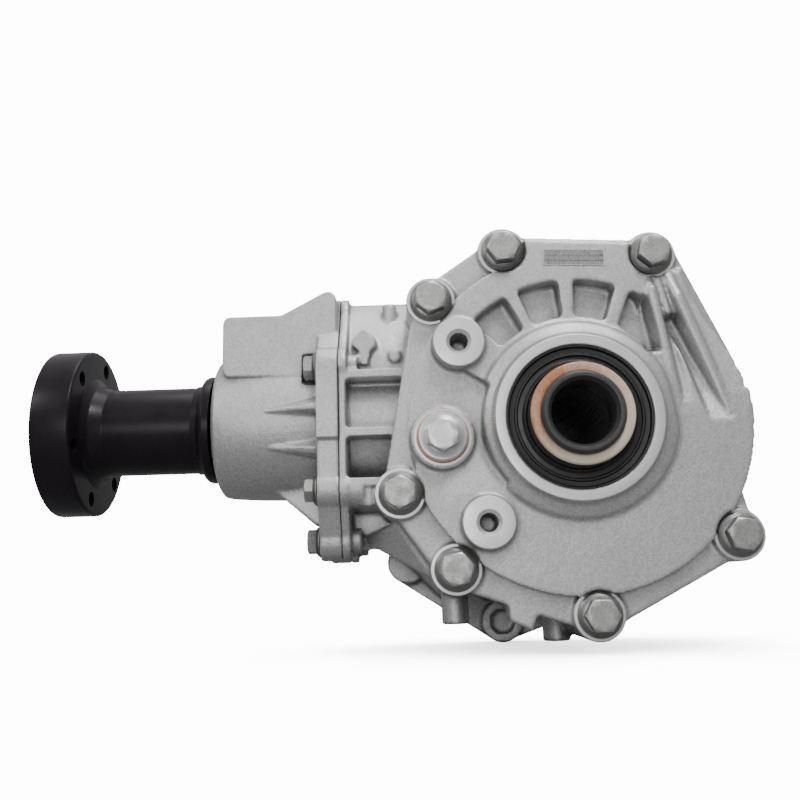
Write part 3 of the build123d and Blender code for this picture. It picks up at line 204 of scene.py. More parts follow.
class Effects:
    """Shader node groups that several finishes share."""

    WAVE_SCALE = 260.0
    FINE_SHARE = 0.45
    SPECK_SHARE = 0.55
    SPECK_RANGE = (0.42, 0.62)
    MOTTLE_RANGE = (0.3, 0.7)
    WEAR_AND_HIGHLIGHT_BREAKS = (0.3, 0.6, 0.35, 1.0)
    PATCHES = (0.25, 0.7, 0.5, 1.0)
    OCCLUSION_SAMPLES = 8

    def __init__(self) -> None:
        """Build every group once."""
        self.grain = self.cast_grain()
        self.wear_and_highlight = self.edge_wear_and_highlight()
        self.dirt_and_shade = self.settled_dirt_and_shade()

    @staticmethod
    def group(name: str, inputs: dict[str, float], outputs: tuple[str, ...]) -> tuple[Graph, Node, Node]:
        """Start a shader group with coordinates and named numbers going in.

        Args:
            name: the group's name.
            inputs: the numbers' names with their defaults.
            outputs: output names, all plain values.

        Returns:
            The graph, its input node and its output node.
        """
        tree = bpy.data.node_groups.new(name, "ShaderNodeTree")
        tree.interface.new_socket("Vector", in_out="INPUT", socket_type="NodeSocketVector")
        for label, default in inputs.items():
            socket = tree.interface.new_socket(label, in_out="INPUT", socket_type="NodeSocketFloat")
            socket.default_value = default
        for label in outputs:
            tree.interface.new_socket(label, in_out="OUTPUT", socket_type="NodeSocketFloat")
        graph = Graph(tree)
        return graph, graph.add("NodeGroupInput"), graph.add("NodeGroupOutput")

    def cast_grain(self) -> NodeTree:
        """Blasted casting grain: a fine height, a slow mottle and specks.

        Returns:
            The effect's group.
        """
        graph, source, result = self.group(
            "CastGrain", {"Fine Scale": 1500.0, "Slow Scale": 60.0}, ("Height", "Mottle", "Speckle"))
        place, fine_scale = source.outputs["Vector"], source.outputs["Fine Scale"]
        fine = graph.noise(place, fine_scale, 2.0, 0.6)
        slow = graph.noise(place, source.outputs["Slow Scale"], 4.0, 0.6)
        wave = graph.noise(place, self.WAVE_SCALE, 3.0, 0.5)
        speck = graph.noise(place, graph.math("MULTIPLY", fine_scale, self.SPECK_SHARE), 1.0, 0.5)
        height = graph.math("ADD", graph.math("MULTIPLY", fine, self.FINE_SHARE),
                            graph.math("MULTIPLY", wave, 1.0 - self.FINE_SHARE))
        graph.feed(result, {"Height": height, "Mottle": graph.remap(slow, *self.MOTTLE_RANGE),
                            "Speckle": graph.remap(speck, *self.SPECK_RANGE)})
        return graph.tree

    def edge_wear_and_highlight(self) -> NodeTree:
        """Mask of worn outer edges, also lightened as painted highlight, broken up by noise.

        Returns:
            The effect's group.
        """
        graph, source, result = self.group(
            "EdgeWearAndHighlight", {"Start": 0.515, "End": 0.60, "Break Scale": 180.0}, ("Mask",))
        sharpness = graph.add("ShaderNodeNewGeometry").outputs["Pointiness"]
        edge = graph.remap(sharpness, source.outputs["Start"], source.outputs["End"])
        breakup = graph.noise(source.outputs["Vector"], source.outputs["Break Scale"])
        breaks = graph.remap(breakup, *self.WEAR_AND_HIGHLIGHT_BREAKS)
        graph.feed(result, {"Mask": graph.math("MULTIPLY", edge, breaks, True)})
        return graph.tree

    def settled_dirt_and_shade(self) -> NodeTree:
        """Mask of dirt and painted shade settled into corners and recesses.

        Returns:
            The effect's group.
        """
        graph, source, result = self.group("DirtAndPaintedShade", {"Reach": 0.006, "Patch Scale": 90.0}, ("Mask",))
        closed = graph.add("ShaderNodeAmbientOcclusion", {"Distance": source.outputs["Reach"]},
                           samples=self.OCCLUSION_SAMPLES)
        hollow = graph.math("SUBTRACT", 1.0, closed.outputs["AO"], True)
        patches = graph.noise(source.outputs["Vector"], source.outputs["Patch Scale"])
        cover = graph.remap(patches, *self.PATCHES)
        graph.feed(result, {"Mask": graph.math("MULTIPLY", hollow, cover, True)})
        return graph.tree


@dataclass(frozen=True)
class Finish:
    """A surface finish: base colour, gloss, and how much of each shared effect it shows."""

    name: str
    colour: Colour
    dark: Colour
    metallic: float
    roughness: float
    spread: float = 0.1
    grain_scale: float = 1500.0
    mottle_scale: float = 60.0
    bump: float = 0.15
    bump_height: float = 0.0001
    mottle: float = 0.5
    speckle: float = 0.0
    # Lightening of sharp edges: wear, and painted highlight where light would catch them.
    wear_and_highlight: float = 0.0
    wear_and_highlight_colour: Colour = (0.7, 0.7, 0.7, 1.0)
    # Darkening of hollows from occlusion: dirt, and painted shade where shade falls.
    dirt_and_shade: float = 0.0
    dirt_and_shade_colour: Colour = (0.05, 0.05, 0.05, 1.0)
    dirt_and_shade_reach: float = 0.006
    specular: float = 0.5
    lean: Place | None = None
    # Attribute whose marked points are darkened: painted shade.
    painted_shade_mark: str = ""

    def shade(self, graph: Graph, grain: Node, vector: NodeSocket) -> NodeSocket:
        """How much of the dark colour shows at each place.

        Args:
            graph: the material's nodes.
            grain: the grain effect.
            vector: the object's coordinates.

        Returns:
            The share of the dark colour, from 0 to 1.
        """
        shade = graph.math("MULTIPLY", grain.outputs["Mottle"], self.mottle)
        speckle = graph.math("MULTIPLY", grain.outputs["Speckle"], self.speckle)
        shade = graph.math("ADD", shade, speckle, True)
        if self.lean:
            side = graph.add("ShaderNodeVectorMath", {0: vector, 1: self.lean}, operation="DOT_PRODUCT")
            shade = graph.math("ADD", shade, side.outputs["Value"], True)
        # The marked part is darkened as painted shade.
        if self.painted_shade_mark:
            painted_shade_mark = graph.add("ShaderNodeAttribute", attribute_name=self.painted_shade_mark)
            shade = graph.math("ADD", shade, painted_shade_mark.outputs["Fac"], True)
        return shade

    def make(self, effects: Effects) -> Material:
        """Build the material.

        Args:
            effects: the shared node groups.

        Returns:
            The finished material.
        """
        material = bpy.data.materials.new(self.name)
        material.use_nodes = True
        graph = Graph(material.node_tree)
        vector = graph.add("ShaderNodeTexCoord").outputs["Object"]
        grain = graph.add("ShaderNodeGroup", {"Vector": vector, "Fine Scale": self.grain_scale,
                                              "Slow Scale": self.mottle_scale}, node_tree=effects.grain)
        rough = graph.remap(grain.outputs["Mottle"], 0.0, 1.0, self.roughness, self.roughness + self.spread)
        colour = graph.mix(self.shade(graph, grain, vector), self.colour, self.dark)
        # Hollows are darkened from occlusion: dirt and painted shade.
        # Sharp edges are lightened: wear and painted highlight.
        for amount, effect, inputs, over in (
                (self.dirt_and_shade, effects.dirt_and_shade, {"Reach": self.dirt_and_shade_reach}, self.dirt_and_shade_colour),
                (self.wear_and_highlight, effects.wear_and_highlight, {}, self.wear_and_highlight_colour)):
            if amount:
                node = graph.add("ShaderNodeGroup", {"Vector": vector, **inputs}, node_tree=effect)
                colour = graph.mix(graph.math("MULTIPLY", node.outputs["Mask"], amount, True), colour, over)
        bump = graph.add("ShaderNodeBump", {"Strength": self.bump, "Distance": self.bump_height,
                                            "Height": grain.outputs["Height"]})
        graph.feed(material.node_tree.nodes["Principled BSDF"], {
            "Base Color": colour, "Roughness": rough, "Normal": bump.outputs["Normal"],
            "Metallic": self.metallic, "Specular IOR Level": self.specular})
        return material


# Edge lightening on the finishes below is wear and painted highlight.
# Hollow darkening on the finishes below is dirt and painted shade.
CAST = Finish("cast_alloy_blasted", grey(0.52), grey(0.38), 0.8, 0.42, mottle_scale=40.0, bump=0.75,
              bump_height=0.0004, mottle=0.3, speckle=0.55, wear_and_highlight=0.5, wear_and_highlight_colour=grey(0.85),
              dirt_and_shade=0.92, dirt_and_shade_colour=grey(0.05, 0.02), dirt_and_shade_reach=0.007)
MACHINED = Finish("alloy_machined", grey(0.72), grey(0.58), 0.8, 0.36, grain_scale=2400.0, mottle_scale=70.0,
                  mottle=0.4, speckle=0.3, dirt_and_shade=0.6, dirt_and_shade_colour=grey(0.08), dirt_and_shade_reach=0.004)
# The bolts' washers are darkened as painted shade through the marked attribute.
BOLT = Finish("bolt_zinc_dull", grey(0.44, 0.01), grey(0.20, 0.01), 0.85, 0.36, 0.16, 1800.0, 160.0, bump=0.4,
              bump_height=0.0002, mottle=0.35, speckle=0.3, wear_and_highlight=0.2, dirt_and_shade=1.0,
              dirt_and_shade_colour=grey(0.012, 0.05), dirt_and_shade_reach=0.008, painted_shade_mark="washer")
PLUG = Finish("plug_zinc_bright", grey(0.62), grey(0.45), 0.85, 0.32, 0.12, 1800.0, 160.0, bump=0.25,
              bump_height=0.0002, mottle=0.4, speckle=0.2, wear_and_highlight=0.4, wear_and_highlight_colour=grey(0.85),
              dirt_and_shade=0.9, dirt_and_shade_colour=grey(0.03, 0.05), dirt_and_shade_reach=0.004)
BLACK = Finish("dip_coat_black", (0.0088, 0.0062, 0.0088, 1), (0.0145, 0.0105, 0.0145, 1), 0.0, 0.27, 0.08,
               700.0, 90.0, bump=0.12, bump_height=0.0002, specular=0.16)
RUBBER = Finish("seal_rubber_black", grey(0.010), grey(0.018), 0.0, 0.34, 0.15, 1500.0, 120.0, bump=0.2)
COPPER = Finish("washer_copper_red", (0.62, 0.2, 0.14, 1), (0.45, 0.13, 0.09, 1), 0.5, 0.38,
                bump_height=0.0002, mottle=0.3)
TAN = Finish("shaft_end_tan", (0.60, 0.52, 0.42, 1), (0.40, 0.155, 0.065, 1), 0.1, 0.42, 0.15, 900.0,
             bump=0.25, bump_height=0.0002, speckle=0.15, lean=(-16.0, 0.0, 22.0))
DARK_SLEEVE = Finish("sleeve_dark", grey(0.045), grey(0.025), 0.2, 0.36, 0.15, 1200.0, 120.0, bump=0.2,
                     bump_height=0.0002)
# Near black, painting the shade inside the unlit bore.
SHAFT = Finish("hollow_shaft_painted_shade", grey(0.02), grey(0.014), 0.0, 0.7, 0.1, 1400.0, 110.0, bump=0.1)
STEEL = Finish("steel_ground", grey(0.52), grey(0.38), 1.0, 0.28, 0.1, 1800.0, 120.0, bump=0.1, mottle=0.4)
GEAR = Finish("steel_hardened", grey(0.24), grey(0.14), 1.0, 0.32, 0.12, 1500.0, 110.0)
CAGE = Finish("steel_pressed", grey(0.38), grey(0.28), 0.9, 0.4, 0.1, 1500.0, 140.0)
GRID_GROUND = Finish("grid_ground", grey(0.27), grey(0.20), 0.6, 0.5, 0.1, 1300.0, bump=0.2, mottle=0.4)


@cache
def shared_effects() -> Effects:
    """The shared effects, built on first use."""
    return Effects()


@cache
def material_of(finish: Finish) -> Material:
    """The material of a finish, built on first use."""
    return finish.make(shared_effects())


def new_object(name: str, data: ID) -> Object:
    """Add a mesh, light or camera to the scene as an object at the origin."""
    piece = bpy.data.objects.new(name, data)
    bpy.context.scene.collection.objects.link(piece)
    return piece


def mesh_from(name: str, shape: bmesh.types.BMesh, smooth: bool = True) -> Mesh:
    """Turn a bmesh into a mesh, with its doubles merged and its faces pointing out.

    Args:
        name: the mesh's name.
        shape: the bmesh, freed here.
        smooth: whether faces are shaded smooth.

    Returns:
        The new mesh.
    """
    bmesh.ops.remove_doubles(shape, verts=shape.verts, dist=MERGE_REACH)
    bmesh.ops.recalc_face_normals(shape, faces=shape.faces)
    for face in shape.faces:
        face.smooth = smooth
    mesh = bpy.data.meshes.new(name)
    shape.to_mesh(mesh)
    shape.free()
    return mesh


def sharpen(mesh: Mesh, degrees: float = CRISP_ANGLE) -> None:
    """Keep edges steeper than an angle crisp under smooth shading."""
    mesh.set_sharp_from_angle(angle=math.radians(degrees))


def settle(piece: Object) -> None:
    """Replace a piece's mesh with its evaluated one and drop its modifiers.

    Args:
        piece: the piece.
    """
    graph = bpy.context.evaluated_depsgraph_get()
    mesh = bpy.data.meshes.new_from_object(piece.evaluated_get(graph))
    piece.modifiers.clear()
    piece.data = mesh


class Grower:
    """A geometry node tree with named inputs that makes a piece's mesh."""

    def __init__(self, name: str, inputs: dict[str, str]) -> None:
        """Start the tree.

        Args:
            name: the tree's name.
            inputs: input names with the kinds of their sockets.
        """
        tree = bpy.data.node_groups.new(name, "GeometryNodeTree")
        self.names = {}
        for label, kind in inputs.items():
            socket = tree.interface.new_socket(label, in_out="INPUT", socket_type="NodeSocket" + kind)
            self.names[label] = socket.identifier
        tree.interface.new_socket("Geometry", in_out="OUTPUT", socket_type="NodeSocketGeometry")
        self.graph = Graph(tree)
        self.source = self.graph.add("NodeGroupInput").outputs

    def run(self, piece: Object, made: NodeSocket, values: dict[str, object]) -> None:
        """End the tree and give a piece the mesh that it makes.

        Args:
            piece: the piece.
            made: the socket whose instances are made real and given the finish.
            values: the named inputs' values.
        """
        real = self.graph.add("GeometryNodeRealizeInstances", {"Geometry": made})
        paint = self.graph.add("GeometryNodeSetMaterial", {"Geometry": real.outputs["Geometry"],
                                                           "Material": self.source["Finish"]})
        self.graph.add("NodeGroupOutput", {"Geometry": paint.outputs["Geometry"]})
        modifier = piece.modifiers.new("grow", "NODES")
        modifier.node_group = self.graph.tree
        for label, value in values.items():
            modifier[self.names[label]] = value
        settle(piece)


def round_corners(profile: Profile) -> list[Pair]:
    """Round a closed profile's corners.

    Args:
        profile: (along, radius, corner radius) points in turn, in millimetres.

    Returns:
        The rounded outline's points.
    """
    outline = []
    for i, (along, radius, round_by) in enumerate(profile):
        here = Vector((along, radius))
        if round_by <= 0:
            outline.append((along, radius))
            continue
        before = Vector(profile[i - 1][:2]) - here
        after = Vector(profile[(i + 1) % len(profile)][:2]) - here
        turn = before.angle(after)
        reach = min(round_by / math.tan(turn / 2), before.length * CORNER_SHARE, after.length * CORNER_SHARE)
        start = here + before.normalized() * reach
        end = here + after.normalized() * reach
        for step in range(CORNER_STEPS + 1):
            share = step / CORNER_STEPS
            point = start * (1 - share) ** 2 + here * 2 * share * (1 - share) + end * share ** 2
            outline.append((point.x, point.y))
    return outline


def join_rings(shape: bmesh.types.BMesh, rings: list[list[bmesh.types.BMVert]]) -> None:
    """Join each closed ring of points to the next one with faces.

    Args:
        shape: the bmesh that holds the points.
        rings: rings of as many points each.
    """
    for here, after in zip(rings, rings[1:]):
        for j in range(len(here)):
            k = (j + 1) % len(here)
            shape.faces.new((here[j], here[k], after[k], after[j]))


def lathe(name: str, profile: Profile, axis: Axis, segments: int, at: Pair = (0.0, 0.0)) -> Object:
    """Turn a closed profile about one of the drive's axes or a line beside it.

    Args:
        name: the piece's name.
        profile: (along, radius, corner radius) points in millimetres, along Y or X in the unit's frame.
        axis: which axis the profile turns about.
        segments: steps round the axis.
        at: how far the piece lies from the axis along x and z, in metres.

    Returns:
        The turned piece.
    """
    outline = [(a * MM, r * MM) for a, r in round_corners(profile)]
    shape = bmesh.new()
    rings = []
    for i in range(segments):
        angle = 2 * math.pi * i / segments
        cos, sin = math.cos(angle), math.sin(angle)
        if axis is Axis.SHAFT:
            ring = [(r * cos, a, r * sin) for a, r in outline]
        else:
            ring = [(a, LAYOUT.pinion_y + r * cos, LAYOUT.pinion_z + r * sin) for a, r in outline]
        rings.append([shape.verts.new(point) for point in ring])
    join_rings(shape, [*rings, rings[0]])
    mesh = mesh_from(name, shape)
    sharpen(mesh)
    mesh.transform(Matrix.Translation((at[0], 0, at[1])))
    return new_object(name, mesh)


@dataclass
class Piece:
    """How a made piece joins the unit: the nodes it stands for, its body and finish, and a slot name that is
    kept but not applied.
    """

    body: Body
    slot: str
    finish: Finish
    nodes: tuple[str, ...] = ()

    def dress(self, piece: Object) -> None:
        """Give a piece its material and body.

        Args:
            piece: the finished object.
        """
        piece.data.materials.clear()
        piece.data.materials.append(material_of(self.finish))
        if self.nodes:
            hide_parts(*self.nodes)
        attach(piece, self.body.value)
        LOG.info("%s: %d faces", piece.name, len(piece.data.polygons))


MACHINED_FACE = Piece(Body.CASE, "cast_alloy", MACHINED)


def copy_of_node(node: str, name: str) -> Object:
    """A merged copy of a construction node's mesh.

    Args:
        node: the node to copy.
        name: the copy's name.

    Returns:
        The copy, with its doubles merged.
    """
    shape = bmesh.new()
    shape.from_mesh(frame["nodes"][node].data)
    bmesh.ops.remove_doubles(shape, verts=shape.verts, dist=NODE_MERGE_REACH)
    mesh = bpy.data.meshes.new(name)
    shape.to_mesh(mesh)
    shape.free()
    mesh.materials.clear()
    return new_object(name, mesh)


def nearest_on(start: Vector, end: Vector, here: Vector) -> Pair:
    """How far along a line the nearest point to a place lies, as a share, and how far off the place is."""
    line = end - start
    share = min(max((here - start).dot(line) / line.length_squared, 0.0), 1.0)
    return share, (here - start - line * share).length


@dataclass(frozen=True)
class Ridge:
    """A rounded rib on the cover: a front-view line of x and z with its crest's depth at both ends."""

    start: Pair
    end: Pair
    crest: Pair
    half: float = 2.5
    fall: float = 1.5

    def depth(self, x: float, z: float) -> float:
        """Depth of the rib's flank at a place, deeper away from its line."""
        share, off = nearest_on(Vector(self.start), Vector(self.end), Vector((x, z)))
        return self.crest[0] + (self.crest[1] - self.crest[0]) * share + self.fall * (off / self.half) ** 4


@dataclass(frozen=True)
class Hollow:
    """A sunk panel of the cover, as a front-view outline of x and z with depths by height."""

    outline: tuple[Pair, ...]
    slope: tuple[Pair, ...]
    edge: float = 1.6

    def share(self, x: float, z: float) -> float:
        """How far a place lies inside the outline, from 0 outside to 1 past its soft edge.

        Args:
            x: the place in the front view.
            z: its height.

        Returns:
            The share of the panel's depth there.
        """
        here = Vector((x, z))
        nearest = math.inf
        inside = False
        for i, corner in enumerate(self.outline):
            low, high = Vector(self.outline[i - 1]), Vector(corner)
            nearest = min(nearest, nearest_on(low, high, here)[1])
            if (low.y > z) != (high.y > z) and x < low.x + (z - low.y) / (high.y - low.y) * (high.x - low.x):
                inside = not inside
        distance = nearest if inside else -nearest
        return min(max(0.5 + distance / self.edge, 0.0), 1.0)

    def depth(self, z: float) -> float:
        """Depth of the panel's floor at a height.

        Args:
            z: the height.

        Returns:
            The depth in millimetres.
        """
        (above, deep), *rest = self.slope
        if z >= above:
            return deep
        for below, shallow in rest:
            if z >= below:
                return deep + (shallow - deep) * (above - z) / (above - below)
            above, deep = below, shallow
        return deep


@dataclass
class RibField:
    """The long ribs under the cover's upper right bolt, with the pocket, trough and channel between them.

    Outlines run in the front view, in millimetres. The hollows are, in turn, the ground left of the ribs,
    between them and right of them, then the pocket, the trough and the channel.
    """

    reach: Hollow = Hollow(
        ((35.4, 63.0), (36.4, 74.5), (58.0, 77.0), (61.5, 66.0), (84.0, 13.0), (80.0, -6.0),
         (49.5, -6.0), (46.0, 15.0), (42.4, 33.8), (36.4, 33.8), (34.4, 46.0)), ((0.0, 0.0),), 2.8)
    hollows: tuple[Hollow, ...] = (
        Hollow(((30.0, 80.0), (40.0, 80.0), (44.2, 48.0), (51.5, 2.0), (49.5, -8.0), (40.0, -8.0),
                (30.0, 33.0)), ((0.0, 7.6),)),
        Hollow(((40.0, 80.0), (51.0, 80.0), (78.0, 2.0), (76.0, -8.0), (49.5, -8.0), (51.5, 2.0),
                (44.2, 48.0)), ((54.0, 10.6), (48.0, 9.4), (22.0, 9.0), (2.0, 7.6))),
        Hollow(((51.0, 80.0), (96.0, 80.0), (96.0, -8.0), (78.0, -8.0), (78.0, 2.0)),
               ((58.0, 11.0), (30.0, 9.4), (10.0, 7.7))),
        Hollow(((33.0, 62.6), (38.0, 61.8), (41.6, 48.8), (44.0, 36.6), (43.6, 33.4), (33.0, 33.4)),
               ((70.0, 17.9),)),
        Hollow(((44.0, 51.0), (50.6, 51.0), (54.2, 24.0), (56.4, 6.0), (51.0, 6.0)),
               ((52.0, 13.0), (30.0, 11.4), (12.0, 9.0), (6.0, 7.8))),
        Hollow(((44.6, 50.0), (48.4, 52.8), (54.6, 52.4), (77.0, -2.0), (65.0, -4.0), (57.4, 24.5),
                (51.6, 40.6)), ((50.0, 17.2), (32.0, 15.2), (12.0, 11.6), (-2.5, 7.7))))
    ridges: tuple[Ridge, ...] = (
        Ridge((39.6, 74.0), (41.4, 65.5), (10.6, 6.3)), Ridge((41.4, 65.5), (51.8, 0.0), (6.3, 7.9)),
        Ridge((45.4, 71.0), (49.2, 53.8), (8.6, 8.4), 1.8),
        Ridge((49.4, 77.0), (54.4, 61.0), (10.6, 6.0), 2.7),
        Ridge((54.4, 61.0), (75.4, 2.0), (6.0, 7.7), 2.7))
    across: Pair = (34.0, 85.0)
    height: Pair = (-7.0, 77.0)
    bolt: Pair = (43.2, 84.8)
    bolt_room: float = 12.2
    skin: float = 19.9
    low_skin: float = 14.0
    low_end: float = 10.0

    def carve(self, mesh: Mesh) -> None:
        """Press the front skin of the cover to the ribs' shape.

        Args:
            mesh: the cover's mesh.
        """
        left, right = self.across
        low, high = self.height
        for vertex in mesh.vertices:
            x, z = vertex.co.x / MM, vertex.co.z / MM
            depth = (vertex.co.y - LAYOUT.ring_y) / MM
            skin = self.skin if z > self.low_end else self.low_skin
            if not (left < x < right and low < z < high) or depth > skin:
                continue
            weight = self.reach.share(x, z)
            if weight == 0.0 or math.dist((x, z), self.bolt) < self.bolt_room:
                continue
            target = depth
            for hollow in self.hollows:
                target += (hollow.depth(z) - target) * hollow.share(x, z)
            for ridge in self.ridges:
                target = min(target, ridge.depth(x, z))
            vertex.co.y = LAYOUT.depth(depth + (target - depth) * weight)


@dataclass(frozen=True)
class BarrelRib:
    """A fat tapering rib on the pinion housing's barrel, from its flange to a point."""

    flange_z: float
    tip_z: float
    half: float
    tip_x: float
    flange_x: float = -130.5
    barrel: float = 41.4
    tip: float = 0.6
    sides: int = 24

    def centre(self, x: float, z: float) -> Vector:
        """A point of the rib's line, on the barrel's skin at a height."""
        rise = z - LAYOUT.pinion_z / MM
        return Vector((x, LAYOUT.pinion_y / MM - math.sqrt(self.barrel ** 2 - rise ** 2), z))

    def add_to(self, shape: bmesh.types.BMesh) -> None:
        """Add the rib's cone to a bmesh in metres.

        Args:
            shape: the bmesh.
        """
        foot, tip = self.centre(self.flange_x, self.flange_z), self.centre(self.tip_x, self.tip_z)
        line = tip - foot
        place = Matrix.Translation((foot + tip) / 2 * MM) @ line.to_track_quat("Z", "Y").to_matrix().to_4x4()
        bmesh.ops.create_cone(shape, cap_ends=True, segments=self.sides, radius1=self.half * MM,
                              radius2=self.tip * MM, depth=line.length * MM, matrix=place)


@dataclass
class Casting:
    """A cast shell whose edges and corners are rounded as a mould leaves them."""

    node: str
    voxel: float = 1.0
    smoothing: int = 3
    triangles: int = 190000
    ribs: tuple[BarrelRib, ...] = ()
    field: RibField | None = None
    smoothing_strength: float = 0.5

    def mould(self, piece: Object) -> None:
        """Fuse a piece's solids into one skin of small even faces.

        Args:
            piece: the piece.
        """
        remesh = piece.modifiers.new("mould", "REMESH")
        remesh.mode = "VOXEL"
        remesh.voxel_size = self.voxel * MM
        settle(piece)

    def build(self) -> None:
        """Make the casting from its construction node."""
        piece = copy_of_node(self.node, self.node + "_cast")
        shape = bmesh.new()
        shape.from_mesh(piece.data)
        for rib in self.ribs:
            rib.add_to(shape)
        shape.to_mesh(piece.data)
        shape.free()
        self.mould(piece)
        if self.field:
            self.field.carve(piece.data)
            self.mould(piece)
        smooth = piece.modifiers.new("round", "SMOOTH")
        smooth.factor = self.smoothing_strength
        smooth.iterations = self.smoothing
        settle(piece)
        count = sum(len(face.vertices) - 2 for face in piece.data.polygons)
        if count > self.triangles:
            thin = piece.modifiers.new("thin", "DECIMATE")
            thin.ratio = self.triangles / count
            settle(piece)
        for face in piece.data.polygons:
            face.use_smooth = True
        Piece(Body.CASE, "cast_alloy", CAST, (self.node,)).dress(piece)


@dataclass
class CoverFace:
    """Machined faces of the cover: the seal's ring, the bosses' tapped faces and the bolts' seats."""

    ring_inner: float = 35.85
    ring_lead: float = 0.55
    ring_mouth: float = 0.6
    ring_outer: float = 41.2
    ring_depth: float = 1.2
    proud: float = 0.05
    bosses: tuple[Pair, ...] = ((-57.5, 40.0), (-46.3, -50.0))
    boss_depth: float = 2.0
    boss_radius: float = 12.7
    boss_edge: float = 0.8
    thread_radius: float = 4.65
    thread_depth: float = 0.55
    thread_pitch: float = 1.5
    thread_turns: int = 9
    thread_flanks: Pair = (0.3, -0.2)
    thread_wall: float = 0.15
    chamfer: float = 1.7
    seat_depth: float = 0.4
    bolt_seat: Pair = (5.2, 12.3)
    plug_seat: Pair = (8.2, 14.2)

    def ring(self) -> None:
        """The machined ring that the seal sits in."""
        front = LAYOUT.ring_y / MM - self.proud
        mouth = front + self.ring_mouth
        back = front + self.ring_depth
        profile = ((front, self.ring_inner + self.ring_lead, 0.3), (front, self.ring_outer, 0.4),
                   (back, self.ring_outer, 0), (back, self.ring_inner, 0), (mouth, self.ring_inner, 0))
        MACHINED_FACE.dress(lathe("cover_machined_ring", profile, Axis.SHAFT, 160))

    def boss_face(self, index: int) -> None:
        """A bracket boss's face with the chamfered mouth of its tapped hole and the thread below.

        Args:
            index: which of the two bosses.
        """
        front = LAYOUT.depth(self.boss_depth) / MM - self.proud
        crest = self.thread_radius
        root = crest + self.thread_depth
        mouth = front + self.chamfer
        end = mouth + self.thread_pitch * self.thread_turns
        profile = [(front, crest + self.chamfer, 0), (front, self.boss_radius, 0.5),
                   (front + self.boss_edge, self.boss_radius, 0), (end, root + self.thread_wall, 0)]
        for turn in range(self.thread_turns, 0, -1):
            along = mouth + self.thread_pitch * (turn - 0.5)
            for flank, radius in zip(self.thread_flanks, (crest, root)):
                profile.append((along + self.thread_pitch * flank, radius, 0))
        profile.append((mouth, crest, 0))
        x, z = self.bosses[index]
        piece = lathe(f"bracket_boss_face_{index + 1}", profile, Axis.SHAFT, 64, (x * MM, z * MM))
        MACHINED_FACE.dress(piece)

    def seat(self, name: str, place: Place, radii: Pair) -> None:
        """A thin spot face round a bolt.

        Args:
            name: the piece's name.
            place: the seat's centre in metres.
            radii: inner and outer radius in millimetres.
        """
        x, y, z = place
        inner, outer = radii
        front = y / MM - self.proud
        back = front + self.seat_depth
        profile = ((front, inner, 0), (front, outer, 0.05), (back, outer, 0), (back, inner, 0))
        MACHINED_FACE.dress(lathe(name, profile, Axis.SHAFT, 72, (x, z)))

    def build(self, bolts: list[Seat], plug: Place) -> None:
        """Make every machined face of the cover.

        Args:
            bolts: seats of the cover's bolts.
            plug: seat of the filler plug.
        """
        self.ring()
        for index in range(len(self.bosses)):
            self.boss_face(index)
        for index, (place, _) in enumerate(bolts):
            self.seat(f"bolt_spot_face_{index + 1}", place, self.bolt_seat)
        self.seat("plug_spot_face", plug, self.plug_seat)


@dataclass
class DateGrid:
    """Empty date grid cast on the cover's plateau: fine raised lines that bound its cells."""

    centre: Pair = (3.2, 83.6)
    length: float = 30.8
    height: float = 8.4
    columns: int = 12
    rows: int = 3
    tilt: float = -2.4
    line: float = 0.30
    line_sides: int = 8
    depth: float = 7.6
    sink: float = -0.08
    panel_proud: float = 0.06

    def build(self) -> None:
        """Run a fine round line along every edge of a flat grid and lay it on the plateau."""
        grower = Grower("date_grid_lines", {"Length": "Float", "Height": "Float", "Columns": "Int",
                                            "Rows": "Int", "Line": "Float", "Finish": "Material"})
        add, source = grower.graph.add, grower.source
        grid = add("GeometryNodeMeshGrid", {"Size X": source["Length"], "Size Y": source["Height"],
                                            "Vertices X": source["Columns"], "Vertices Y": source["Rows"]})
        split = add("GeometryNodeSplitEdges", {"Mesh": grid.outputs["Mesh"]})
        path = add("GeometryNodeMeshToCurve", {"Mesh": split.outputs["Mesh"]})
        outline = add("GeometryNodeCurvePrimitiveCircle", {"Resolution": self.line_sides,
                                                           "Radius": source["Line"]})
        sweep = add("GeometryNodeCurveToMesh", {"Curve": path.outputs["Curve"], "Fill Caps": True,
                                                "Profile Curve": outline.outputs["Curve"]})
        piece = new_object("date_grid", bpy.data.meshes.new("date_grid"))
        grower.run(piece, sweep.outputs["Mesh"], {
            "Length": self.length * MM, "Height": self.height * MM, "Columns": self.columns + 1,
            "Rows": self.rows + 1, "Line": self.line * MM, "Finish": material_of(MACHINED)})
        piece.data.transform(self.placed(self.sink))
        MACHINED_FACE.dress(piece)
        self.panel()

    def placed(self, sink: float) -> Matrix:
        """The grid's place on the plateau, this far behind its surface in millimetres."""
        x, z = self.centre
        return (Matrix.Translation((x * MM, LAYOUT.depth(self.depth + sink), z * MM))
                @ Matrix.Rotation(math.radians(-self.tilt), 4, "Y") @ Matrix.Rotation(math.pi / 2, 4, "X"))

    def panel(self) -> None:
        """The shaded ground between the lines."""
        shape = bmesh.new()
        bmesh.ops.create_cube(shape, size=1.0)
        box = (self.length * MM, self.height * MM, self.panel_proud * 2 * MM)
        bmesh.ops.scale(shape, vec=box, verts=shape.verts)
        edge = self.panel_proud * 0.5 * MM
        bmesh.ops.bevel(shape, geom=shape.edges[:], offset=edge, segments=2, affect="EDGES")
        mesh = mesh_from("date_grid_ground", shape, smooth=False)
        mesh.transform(self.placed(0.0))
        Piece(Body.CASE, "cast_alloy", GRID_GROUND).dress(new_object("date_grid_ground", mesh))


